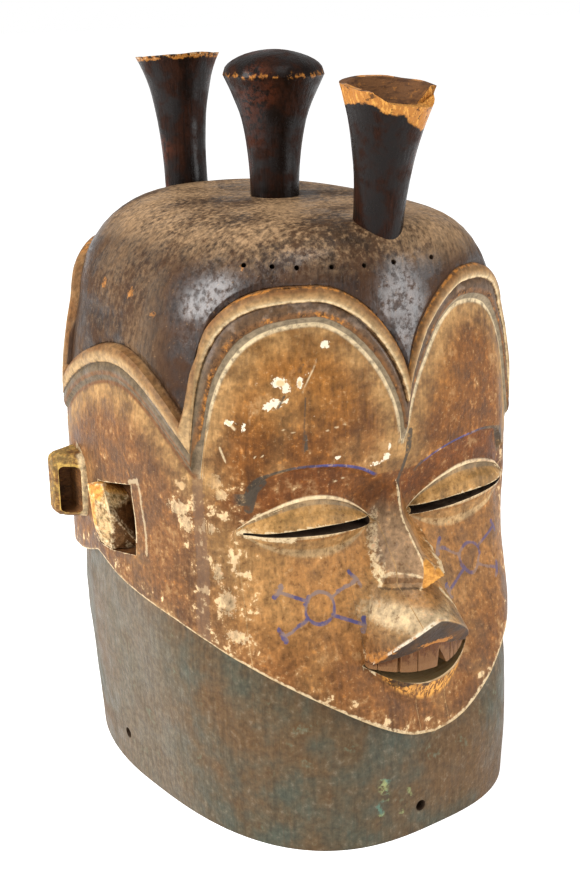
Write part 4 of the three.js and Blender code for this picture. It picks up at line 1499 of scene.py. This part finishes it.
def paint_nose_and_muzzle(wood, place, front):
    muzzle = wood.patch(place, (0, 150), (38, 24), 0.8, 0.3)
    wood.lay("muzzle", muzzle, 0.85)
    wood.lay("bright_cream", wood.patch(place, (-14, 150), (22, 7), 1.6, 0.5), 0.6)
    wood.lay("cheek", wood.patch(place, (2, 159), (18, 5), 1.5, 0.4), 0.8)
    wood.lay("facet", wood.patch(place, (-6, 186), (13, 27), 0.6, 0.2), 0.9)
    patchy = wood.between(wood.fine, 0.4, 0.55)
    wood.lay("bright_cream", wood.strokes("nose_side", 4.5), patchy, 0.75)
    wood.lay("bright_cream", wood.strokes("nose_lip", 2), front, 0.8)
    wood.lay("worn_brown_and_shade", wood.stroke(place, (-18, 166), (-2, 168.5), 3.4, 2.5), front, 0.7)
    # Painted shadow along the crease at the nose's base
    wood.lay("soot_and_shadow", wood.stroke(place, (-22, 162.6), (8, 162.6), 1.2, 1.5), 0.6)


def paint_eyes(wood, aside):
    brow, eye = wood.reading("brow"), wood.reading("eye")
    inside = wood.window(eye, -1.25, -0.9, 0.98, 1.02)
    wood.lay("lid", inside)
    wood.lay("low_lid", inside, wood.between(eye, -0.1, -0.3))
    under_brow = wood.product(wood.window(brow, -30, -16, -1, 0.5), wood.between(eye, 1.0, 1.15))
    wood.lay("socket", under_brow, wood.between(aside, 118, 106), 0.8)
    wood.lay("bright_cream", wood.window(eye, 0.95, 1.0, 1.07, 1.15))
    # Painted shade on the sunk wall under the upper lid's edge
    wood.lay("wall_painted_shade", wood.window(eye, 0.74, 0.8, 0.95, 0.99), 0.7)
    wood.lay("bright_cream", wood.window(eye, -0.36, -0.3, -0.22, -0.16), 0.45)
    wood.lay("pale_ochre", wood.window(eye, -1.0, -0.85, -0.5, -0.4), 0.6)
    under_eye = wood.window(eye, -1.35, -1.15, -0.95, -0.8)
    wood.lay("cream", under_eye, wood.between(wood.fine, 0.3, 0.5, 0.3, 0.85))
    # The painted line of the brow, blue inwards and broader and grey outwards
    half = wood.between(aside, 86, 104, 1.3, 4.2)
    line = wood.between(wood.math("ABSOLUTE", brow), half, wood.math("SUBTRACT", half, 0.7))
    tone = wood.blend(wood.between(aside, 50, 80), "line_blue", "line_grey")
    broken = wood.between(wood.fine, 0.3, 0.45, 0.35, 0.95)
    wood.lay(tone, line, wood.window(aside, 15, 18, 106, 112), broken)


def paint_lips(wood, place, arc, aside, front):
    lip = wood.reading("lip")
    # Painted shade on the upper lip's underside, which faces down
    wood.lay("lip_underside_painted_shade", wood.window(lip, 1.5, 1.7, 2.9, 2.97), 0.92)
    patchy = wood.between(wood.middle, 0.46, 0.58)
    wood.lay("worn_brown_and_shade", wood.window(lip, 1.8, 2.0, 2.9, 2.97), patchy, 0.4)
    wood.lay("raw_orange", wood.patch(place, (2, 131.5), (11, 2), 3), front, 0.9)
    edge_tone = wood.blend(wood.between(wood.middle, 0.45, 0.52), "bare_white", "raw_orange")
    crest = wood.product(wood.window(lip, 2.9, 2.96, 3.04, 3.14), wood.between(wood.torn, 0.36, 0.5))
    wood.lay(edge_tone, crest, wood.between(arc, 6, -10, 0.1, 0.8))
    corner = wood.stroke(place, (-42, 120.5), (-27, 133), 3.5, 4)
    wood.lay("raw_orange", corner, front, wood.between(wood.fine, 0.44, 0.54), 0.7)
    wood.lay("cream", wood.window(lip, 0.86, 0.94, 1.1, 1.2), 0.7)
    lower = wood.product(wood.window(lip, -0.3, 0.04, 0.84, 0.92), wood.between(aside, 36, 30))
    fibres = wood.streaks((1.6, 1.6, 14), 0.42, 0.56)
    wood.lay("deep_ochre", lower, 0.9)
    wood.lay("fresh_orange", lower, fibres["Lines"], wood.between(wood.middle, 0.36, 0.46, 0.35, 1))
    wood.lay("soot_and_shadow", wood.patches("charred", 2.2), lower, front, 0.85)


def paint_marks(wood, place, arc, z, front):
    """Chips, lines and scars on the faces."""
    wood.lay("bare_white", wood.patches("chips", 2.6), front)
    for centre, size in CHIP_HEARTS:
        wood.lay("fresh_orange", wood.patch(place, centre, size, 1.2, 0.4), front, 0.6)
    wood.lay("bright_cream", wood.strokes("pale_strokes"), front, 0.75)
    broken = wood.between(wood.fine, 0.36, 0.5, 0.3, 0.95)
    wood.lay("line_grey", wood.strokes("dark_strokes"), front, broken)
    wood.lay("stripe", wood.strokes("stripes", 5.5), 0.6)
    scars = folded_scar(wood, arc, z)
    tone = wood.blend(wood.between(wood.middle, 0.42, 0.56), "line_blue", "scar_grey")
    faded = wood.between(arc, 20, 60, 1, 0.75)
    wood.lay(tone, scars, faded, wood.between(wood.fine, 0.32, 0.46, 0.35, 0.9))


def paint_collar(wood, arc, front):
    """The colour of the neck below the faces."""
    settled = wood.total(wood.product(wood.big, 0.6), wood.product(wood.middle, 0.4))
    wood.colour = wood.blend(wood.between(settled, 0.34, 0.64), "collar_green", "collar_brown")
    # Paler grey down the left side and round the back: painted sheen over the grey paint
    wood.lay("collar_grey_and_sheen", wood.between(arc, -150, -210, 0, 0.7))
    grain = wood.streaks((3.4, 3.4, 60), 0.5, 0.66)
    wood.lay("hair_brown", grain["Lines"], 0.3)
    spots = wood.product(wood.between(wood.middle, 0.6, 0.72), wood.between(wood.fine, 0.45, 0.6))
    wood.lay("turquoise", spots, 0.35)
    wood.lay("collar_grey_and_sheen", wood.between(wood.fine, 0.58, 0.68, 0, 0.45))
    tone = wood.blend(wood.between(wood.middle, 0.4, 0.55), "turquoise", "fresh_green")
    wood.lay(tone, wood.strokes("green_scratches"), front, wood.between(wood.fine, 0.4, 0.55), 0.8)
    wood.deepen(grain["Streaks"], 0.2)
    wood.deepen(wood.fine, 0.25)


def paint_bands(wood, band, arc, aside):
    """The stepped bands between a face and the hair: a pale foot, a wall in painted shade, a worn
    edge, a dark band with patches of painted sheen and a pale ridge that turns brown towards the
    hair. Over the side they are duller."""
    over_side = wood.between(aside, 126, 134)
    over_face = wood.math("SUBTRACT", 1.0, over_side)
    wood.colour = wood.blend(over_side, "dark_band", "side_band")
    # Patches of painted sheen on the dark band over the faces
    wood.lay("band_painted_sheen", wood.between(wood.middle, 0.5, 0.62, 0, 0.8), over_face)
    left_leg = wood.product(wood.window(arc, -136, -130, -118, -106), 0.1)
    worn = wood.total(wood.middle, wood.product(wood.torn, 0.6), left_leg)
    strip = wood.product(wood.window(band, 0.3, 0.34, 0.4, 0.7), over_face)
    wood.lay("worn_brown_and_shade", wood.window(band, 0.28, 0.34, 0.46, 0.62), 0.8)
    wood.lay("raw_orange", strip, wood.between(worn, 0.86, 0.96))
    wood.lay("fresh_orange", strip, wood.between(worn, 0.98, 1.1), 0.7)
    wood.lay("groove", strip, wood.between(wood.fine, 0.44, 0.36), 0.8)
    pale = wood.between(wood.fine, 0.34, 0.5, 0.55, 1)
    # Painted shade on the step's wall between a face and its dark band
    wood.lay("wall_painted_shade", wood.between(band, 0.31, 0.27), over_face)
    wood.lay("side_face", wood.between(band, 0.1, -0.05), over_side)
    wood.lay("bright_cream", wood.window(band, -0.3, -0.12, 0.02, 0.06), pale, over_face, 0.7)
    wood.lay("tan", wood.between(band, 0.97, 1.02))
    ridge = wood.window(band, 0.98, 1.06, 1.18, 1.5)
    wood.lay("cream", ridge, wood.between(over_side, 0, 1, 1, 0.7))
    wood.lay("bright_cream", wood.window(band, 1.0, 1.06, 1.12, 1.25), pale, over_face, 0.6)
    patchy = wood.between(wood.middle, 0.4, 0.6)
    wood.lay("cream", wood.between(band, 1.0, 1.1), over_side, patchy, 0.6)
    patchy = wood.between(wood.middle, 0.35, 0.6, 0.4, 0.95)
    wood.lay("worn_brown_and_shade", wood.between(band, 1.45, 1.75), patchy)
    hair_edge = wood.window(band, 1.84, 1.92, 2.02, 2.1)
    wood.lay("raw_orange", hair_edge, wood.between(wood.fine, 0.42, 0.55), over_face, 0.8)


def paint_hair(wood, arc, z):
    """The rubbed black-brown hair, dusty on its top. Gives its grain, its gloss and the dust."""
    streaks = wood.streaks((2.6, 2.6, 38), 0.46, 0.64)
    wood.colour = wood.blend(wood.between(wood.middle, 0.36, 0.62), "hair", "hair_brown")
    wood.lay("hair", streaks["Lines"], 0.6)
    top = wood.between(z, 343, 371, 0, 0.95)
    settled = wood.total(wood.product(wood.big, 0.5), wood.product(wood.fine, 0.5))
    lying = wood.most(top, wood.between(arc, -150, -200, 0, 0.3))
    wood.lay("hair_dust", lying, wood.between(settled, 0.4, 0.58, 0.08, 1.0))
    wood.lay("raw_orange", wood.patches("hair_wear", 2.6), wood.between(wood.fine, 0.4, 0.5), 0.7)
    wood.lay("hair_dust", wood.between(wood.torn, 0.62, 0.72), 0.35)
    wood.lay("soot_and_shadow", wood.strokes("cracks", 1.4), 0.85)
    wood.deepen(streaks["Streaks"], 0.4)
    gloss = wood.patches("hair_gloss", 0.6, 0.5)
    return streaks, gloss, lying


def paint_losses(wood, aside, z, front, jaw):
    """Paint that is worn off at the sides and over the jaw, and flaked off in patches."""
    side_wear = wood.product(
        wood.window(aside, 92, 112, 140, 158), wood.window(z, 112, 130, 225, 250)
    )
    jaw_wear = wood.product(wood.window(jaw, -1, 0, 8, 18), 0.7)
    amount = wood.between(wood.most(side_wear, jaw_wear), 0, 1, -0.25, 0.2)
    flakes = wood.noise(wood.body, 8, 3, 0.6)
    loss = wood.group(wood.effects["loss"], Rough=wood.fine, Flakes=flakes, Amount=amount)
    wood.lay("cream", loss["Soft"], 0.3)
    wood.lay("flake", loss["Mask"], 0.9)
    wood.lay("flake", wood.patches("lost_paint", 3.2), front, 0.85)


def paint_weather(wood, band, grain):
    """Specks, the paler paint under the hairline, and the grain that shows through."""
    wood.lay("cream", wood.between(wood.torn, 0.6, 0.7, 0, 0.45))
    wood.lay("raw_orange", wood.between(wood.fine, 0.6, 0.7, 0, 0.35))
    wood.lay("deep_ochre", wood.between(wood.fine, 0.4, 0.32, 0, 0.55))
    patchy = wood.between(wood.middle, 0.3, 0.55, 0.3, 0.95)
    wood.lay("pale_ochre", wood.between(band, -2.4, -0.2), patchy)
    wood.deepen(grain["Streaks"], 0.16)
    wood.deepen(wood.fine, 0.28)
    wood.deepen(wood.middle, 0.36)
    patchy = wood.between(wood.middle, 0.56, 0.7, 0, 0.4)
    wood.lay("cream", patchy, wood.between(wood.fine, 0.4, 0.55))


def paint_worn_edges(wood):
    """Pale wear along the edges, away from the painted lines, and around the ear's pocket."""
    off_brow = wood.math("ABSOLUTE", wood.reading("brow"))
    off_crest = wood.math("ABSOLUTE", wood.math("SUBTRACT", wood.reading("lip"), 3))
    off_lines = wood.product(wood.between(off_brow, 4, 7), wood.between(off_crest, 0.15, 0.3))
    patchy = wood.between(wood.torn, 0.36, 0.5, 0.3, 0.9)
    wood.lay("bright_cream", wood.worn_edge(0.3, 0.65), patchy, off_lines)
    wood.lay("bright_cream", wood.strokes("pocket_rim", 3), 0.5)


def paint_broken_nose(wood, front):
    raw = wood.between(wood.reading("raw"), 0.2, 0.5)
    wood.lay("fresh_orange", raw, front)
    wood.lay("raw_orange", raw, front, wood.between(wood.fine, 0.4, 0.6), 0.8)


def paint_wood(material, effects):
    """The painted skin: the faces first, then the collar, the bands and the hair beside them."""
    wood = Wood(material, effects, "ochre")
    place = wood.head_place()
    arc, z = wood.parts(place)[:2]
    aside = wood.math("ABSOLUTE", arc)
    band, jaw, front = wood.reading("band"), wood.reading("jaw"), wood.reading("front")
    grain = wood.streaks((2.4, 2.4, 26), 0.52, 0.66)

    paint_face(wood, arc, z, aside, front)
    paint_nose_and_muzzle(wood, place, front)
    paint_eyes(wood, aside)
    paint_losses(wood, aside, z, front, jaw)
    paint_weather(wood, band, grain)
    paint_marks(wood, place, arc, z, front)
    paint_worn_edges(wood)
    paint_lips(wood, place, arc, aside, front)
    paint_broken_nose(wood, front)
    face = wood.colour

    paint_collar(wood, arc, front)
    ragged_jaw = wood.total(jaw, wood.between(wood.fine, 0.2, 0.8, -1.2, 1.2))
    jaw_edge = wood.window(ragged_jaw, -1.2, -0.2, 0.5, 3.0)
    jaw_edge = wood.product(jaw_edge, wood.between(wood.middle, 0.35, 0.6, 0.05, 0.5))
    face = wood.blend(jaw_edge, face, "cream")
    body = wood.blend(wood.between(ragged_jaw, -0.9, -0.3), wood.colour, face)

    ragged = wood.total(band, wood.between(wood.fine, 0.2, 0.8, -0.03, 0.03))
    paint_bands(wood, ragged, arc, aside)
    wood.deepen(wood.fine, 0.35)
    body = wood.blend(wood.between(band, -0.3, -0.1), body, wood.colour)

    streaks, gloss, lying = paint_hair(wood, arc, z)
    on_hair = wood.between(ragged, 1.96, 2.08)
    wood.colour = wood.blend(on_hair, body, wood.colour)

    # Rubbed hair and dark bands shine over the dull paint
    shiny = wood.math("SUBTRACT", wood.middle, wood.product(gloss, 0.3))
    hair_rough = wood.between(shiny, 0.2, 0.7, 0.36, 0.66)
    paint_rough = wood.between(wood.middle, 0.3, 0.7, 0.4, 0.62)
    on_dark = wood.most(on_hair, wood.window(band, 0.4, 0.5, 0.95, 1.0))
    nose_shine = wood.patch(place, (-6, 186), (14, 27), 0.4, 0.3)
    roughness = wood.blend(on_dark, paint_rough, hair_rough)
    roughness = wood.math("SUBTRACT", roughness, wood.product(nose_shine, 0.14))
    rubbed = wood.between(wood.middle, 0.6, 0.42, 0.0, 0.2)
    rubbed = wood.product(on_dark, rubbed, wood.between(lying, 0, 1, 1, 0.3))
    shine = wood.product(gloss, on_hair, wood.between(wood.fine, 0.36, 0.56, 0.1, 0.8))

    # Height in millimetres of the coats, the grain and the hair's facets
    height = wood.total(
        wood.product(wood.fine, 0.55), wood.product(grain["Streaks"], 0.35),
        wood.product(streaks["Streaks"], on_hair, 0.6), wood.product(wood.middle, on_hair, 3.0),
    )
    wood.finish(roughness, height, rubbed=wood.most(rubbed, shine))


def paint_post(material, effects):
    wood = Wood(material, effects, "post")
    grain = wood.streaks((2.2, 2.2, 34), 0.48, 0.66)
    wood.lay("post_brown", wood.between(wood.middle, 0.42, 0.66))
    wood.lay("post", grain["Lines"], 0.6)
    wood.lay("post_red", wood.between(wood.big, 0.54, 0.64), wood.between(wood.fine, 0.42, 0.55), 0.5)
    wood.lay("raw_orange", wood.between(wood.middle, 0.72, 0.76), 0.8)
    wood.lay("raw_orange", wood.worn_edge(0.45, 0.8), wood.between(wood.fine, 0.42, 0.52), 0.9)
    wood.lay("bright_cream", wood.worn_edge(0.8, 1.3), wood.between(wood.torn, 0.5, 0.6), 0.7)
    # The broken rim of the front post, torn down to fresh wood
    x, y, z = wood.body_parts()
    torn = wood.product(wood.math("SUBTRACT", wood.middle, 0.5), TORN_RIM["ragged"])
    level = wood.total(z, wood.product(x, TORN_RIM["slope"]), torn)
    over = wood.between(level, TORN_RIM["level"], TORN_RIM["level"] + TORN_RIM["fade"])
    rim = wood.product(over, wood.between(y, *TORN_RIM["y"]))
    wood.lay("raw_orange", rim)
    wood.lay("fresh_orange", rim, grain["Lines"])
    wood.lay("post_brown", rim, wood.between(wood.fine, 0.42, 0.36), 0.8)
    roughness = wood.between(wood.middle, 0.3, 0.7, 0.24, 0.46)
    height = wood.total(wood.product(wood.fine, 0.5), wood.product(grain["Streaks"], 0.8))
    wood.finish(roughness, height, 0.05, wood.between(wood.middle, 0.6, 0.45, 0.02, 0.2))


def paint_raw(material, effects):
    wood = Wood(material, effects, "raw_orange")
    fibres = wood.streaks((1.2, 1.2, 16), 0.42, 0.6)
    wood.lay("fresh_orange", fibres["Lines"])
    wood.lay("post_brown", wood.between(wood.middle, 0.52, 0.64), 0.7)
    wood.lay("soot_and_shadow", wood.between(wood.fine, 0.38, 0.32), 0.6)
    wood.finish(0.75, wood.product(fibres["Streaks"], 1.8))


def paint_cup(material, effects):
    """Dark worked wood inside the posts' cups, the ears' cups and pockets."""
    wood = Wood(material, effects, "cup")
    rings = wood.streaks((7, 7, 1.6), 0.45, 0.65)
    wood.lay("post_brown", rings["Lines"], 0.6)
    wood.lay("soot_and_shadow", wood.between(wood.middle, 0.5, 0.66), 0.6)
    wood.lay("raw_orange", wood.between(wood.fine, 0.58, 0.66), 0.4)
    height = wood.total(wood.product(rings["Streaks"], 0.8), wood.product(wood.fine, 0.6))
    wood.finish(0.6, height)


def paint_hollow(material, effects):
    wood = Wood(material, effects, "hollow")
    marks = wood.streaks((6, 6, 26), 0.5, 0.7)
    wood.lay("hollow_light", wood.between(wood.middle, 0.4, 0.65))
    wood.lay("post_brown", marks["Lines"], 0.5)
    height = wood.total(wood.product(marks["Streaks"], 1.2), wood.product(wood.fine, 0.4))
    wood.finish(0.8, height)


def paint_mouth(material, effects):
    """The olive wood of the mouths' cut."""
    wood = Wood(material, effects, "mouth_olive")
    grain = wood.streaks((14, 1.6, 1.6), 0.45, 0.65)
    wood.lay("ear_olive", grain["Lines"], 0.6)
    wood.lay("cream", wood.between(wood.fine, 0.55, 0.66), 0.35)
    wood.finish(0.7, wood.product(grain["Streaks"], 0.8))


def paint_ear(material, effects):
    wood = Wood(material, effects, "ear_olive")
    x, y, z = wood.body_parts()
    aside = wood.math("ABSOLUTE", x)
    fibres = wood.streaks((1.3, 12, 1.3), 0.45, 0.62)
    # The broken stump: pale torn wood, fresh at its top and outer side, and painted shade where it faces
    # inwards
    wood.lay("stump_cream", wood.between(wood.fine, 0.36, 0.56))
    wood.lay("raw_orange", fibres["Lines"], 0.35)
    wood.lay("worn_brown_and_shade", wood.between(aside, 134.5, 132), wood.between(z, 198, 196), 0.95)
    wood.lay("fresh_orange", wood.between(z, 199.5, 200.5), wood.between(y, -8, -4), 0.9)
    wood.lay("fresh_orange", wood.between(y, -2.5, 1), 0.85)
    wood.lay("bright_cream", wood.worn_edge(0.25, 0.55), wood.between(wood.torn, 0.4, 0.55), 0.8)
    stump = wood.colour
    # The whole ear behind it
    wood.colour = wood.blend(wood.between(wood.middle, 0.4, 0.6), "worn_brown_and_shade", "ear_olive")
    wood.lay("ear_yellow", wood.between(wood.fine, 0.45, 0.65), 0.4)
    wood.lay("raw_orange", wood.between(wood.torn, 0.55, 0.65), 0.4)
    wood.lay("ear_yellow", wood.worn_edge(0.2, 0.5), 0.9)
    wood.lay("bright_cream", wood.between(aside, 134, 132), wood.between(y, 36, 33), 0.7)
    wood.colour = wood.blend(wood.between(y, 19, 21), stump, wood.colour)
    wood.deepen(wood.fine, 0.4)
    height = wood.total(wood.product(fibres["Streaks"], 0.9), wood.product(wood.fine, 0.8))
    wood.finish(0.55, height)


def paint_teeth(material, effects):
    wood = Wood(material, effects, "tooth")
    z = wood.body_parts()[2]
    grain = wood.streaks((1.4, 1.4, 14), 0.45, 0.65)
    wood.lay("pale_tooth_and_floor_light", grain["Lines"], 0.2)
    # Paler lower band: painted light from the floor on the teeth's lower faces
    wood.lay("pale_tooth_and_floor_light", wood.between(z, 120.5, 119.5), 0.6)
    wood.lay("deep_ochre", wood.between(wood.fine, 0.52, 0.64), 0.6)
    wood.lay("pale_tooth_and_floor_light", wood.worn_edge(0.2, 0.5), 0.6)
    # Darker towards the top, where the teeth meet the mouth's roof
    wood.lay("soot_and_shadow", wood.between(z, 131, 138), 0.7)
    wood.finish(0.5, wood.total(wood.product(grain["Streaks"], 0.8), wood.product(wood.fine, 0.5)))


def paint_finishes():
    effects = shared_effects()
    painters = (
        paint_wood, paint_hollow, paint_raw, paint_post, paint_ear, paint_teeth, paint_cup,
        paint_mouth,
    )
    for material, painter in zip(WOODS, painters):
        painter(material, effects)


# Floor, light and camera

# The camera as it stood for the photograph, in millimetres, and its turn as three directions
CAMERA_PLACE = (-482.2, -786.5, 509.5)
CAMERA_RIGHT = (0.8475, -0.5307, -0.0120)
CAMERA_UP = (0.1732, 0.2551, 0.9513)
CAMERA_LENS = 59.225

# Soft lights: place and aim in millimetres, width and height in millimetres, and power in watts
LIGHTS = {
    "left_softbox": ((-1830, 250, 1200), (0, 0, 250), (1000, 1300), 52),
    "right_softbox": ((1250, -1700, 500), (0, 0, 250), (900, 1200), 29),
    "high_softbox": ((-300, -500, 2000), (0, 0, 250), (1200, 1200), 14),
}
AMBIENT = 0.5
FLOOR_GLOW = 0.62
FLOOR_SIZE = 12


def aimed(place, aim):
    """Turn and place of a lamp at one point that faces another."""
    look = Vector(aim) - Vector(place)
    turn = look.to_track_quat("-Z", "Y").to_matrix().to_4x4()
    return Matrix.Translation(Vector(place) * MM) @ turn


def set_lights():
    for name, (place, aim, size, power) in LIGHTS.items():
        lamp = bpy.data.lights.new(name, "AREA")
        lamp.shape = "RECTANGLE"
        lamp.size, lamp.size_y = size[0] * MM, size[1] * MM
        lamp.energy = power
        stand = bpy.data.objects.new(name, lamp)
        stand.matrix_world = aimed(place, aim)
        bpy.context.scene.collection.objects.link(stand)
    world = bpy.data.worlds.new("studio")
    world.use_nodes = True
    studio = Work(world.node_tree)
    seen = studio.add("ShaderNodeLightPath").outputs["Is Camera Ray"]
    strength = studio.math("MAXIMUM", seen, AMBIENT)
    studio.wire(strength, world.node_tree.nodes["Background"].inputs["Strength"])
    world.node_tree.nodes["Background"].inputs["Color"].default_value = (1, 1, 1, 1)
    bpy.context.scene.world = world
    bpy.context.scene.view_settings.view_transform = "Standard"


def set_floor():
    bm = bmesh.new()
    bmesh.ops.create_grid(bm, x_segments=1, y_segments=1, size=FLOOR_SIZE)
    mesh = bpy.data.meshes.new("floor")
    bm.to_mesh(mesh)
    bm.free()
    paper = bpy.data.materials.new("floor_paper")
    paper.use_nodes = True
    shader = paper.node_tree.nodes["Principled BSDF"]
    shader.inputs["Base Color"].default_value = (0.9, 0.9, 0.9, 1)
    shader.inputs["Roughness"].default_value = 0.9
    shader.inputs["Emission Color"].default_value = (1, 1, 1, 1)
    shader.inputs["Emission Strength"].default_value = FLOOR_GLOW
    mesh.materials.append(paper)
    floor = bpy.data.objects.new("floor", mesh)
    bpy.context.scene.collection.objects.link(floor)


def set_camera():
    right, up = Vector(CAMERA_RIGHT), Vector(CAMERA_UP)
    turn = Matrix((right, up, right.cross(up))).transposed().to_4x4()
    lens = bpy.data.cameras.new("camera")
    lens.lens = CAMERA_LENS
    lens.clip_end = 50
    camera = bpy.data.objects.new("camera", lens)
    camera.matrix_world = Matrix.Translation(Vector(CAMERA_PLACE) * MM) @ turn
    bpy.context.scene.collection.objects.link(camera)
    bpy.context.scene.camera = camera


# The piece in its frame

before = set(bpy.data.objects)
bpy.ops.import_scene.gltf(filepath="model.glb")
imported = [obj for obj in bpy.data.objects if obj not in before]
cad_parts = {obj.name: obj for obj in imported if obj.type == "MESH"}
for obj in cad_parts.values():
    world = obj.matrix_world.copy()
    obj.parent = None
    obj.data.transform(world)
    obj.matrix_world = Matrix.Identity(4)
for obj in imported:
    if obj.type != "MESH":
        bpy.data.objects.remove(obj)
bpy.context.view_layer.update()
WOODS = [bpy.data.materials.new(name) for name in FINISHES]
mask = helmet_mask()
paint_finishes()
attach(mask, "root")
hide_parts("helmet_mask")
set_floor()
set_lights()
set_camera()
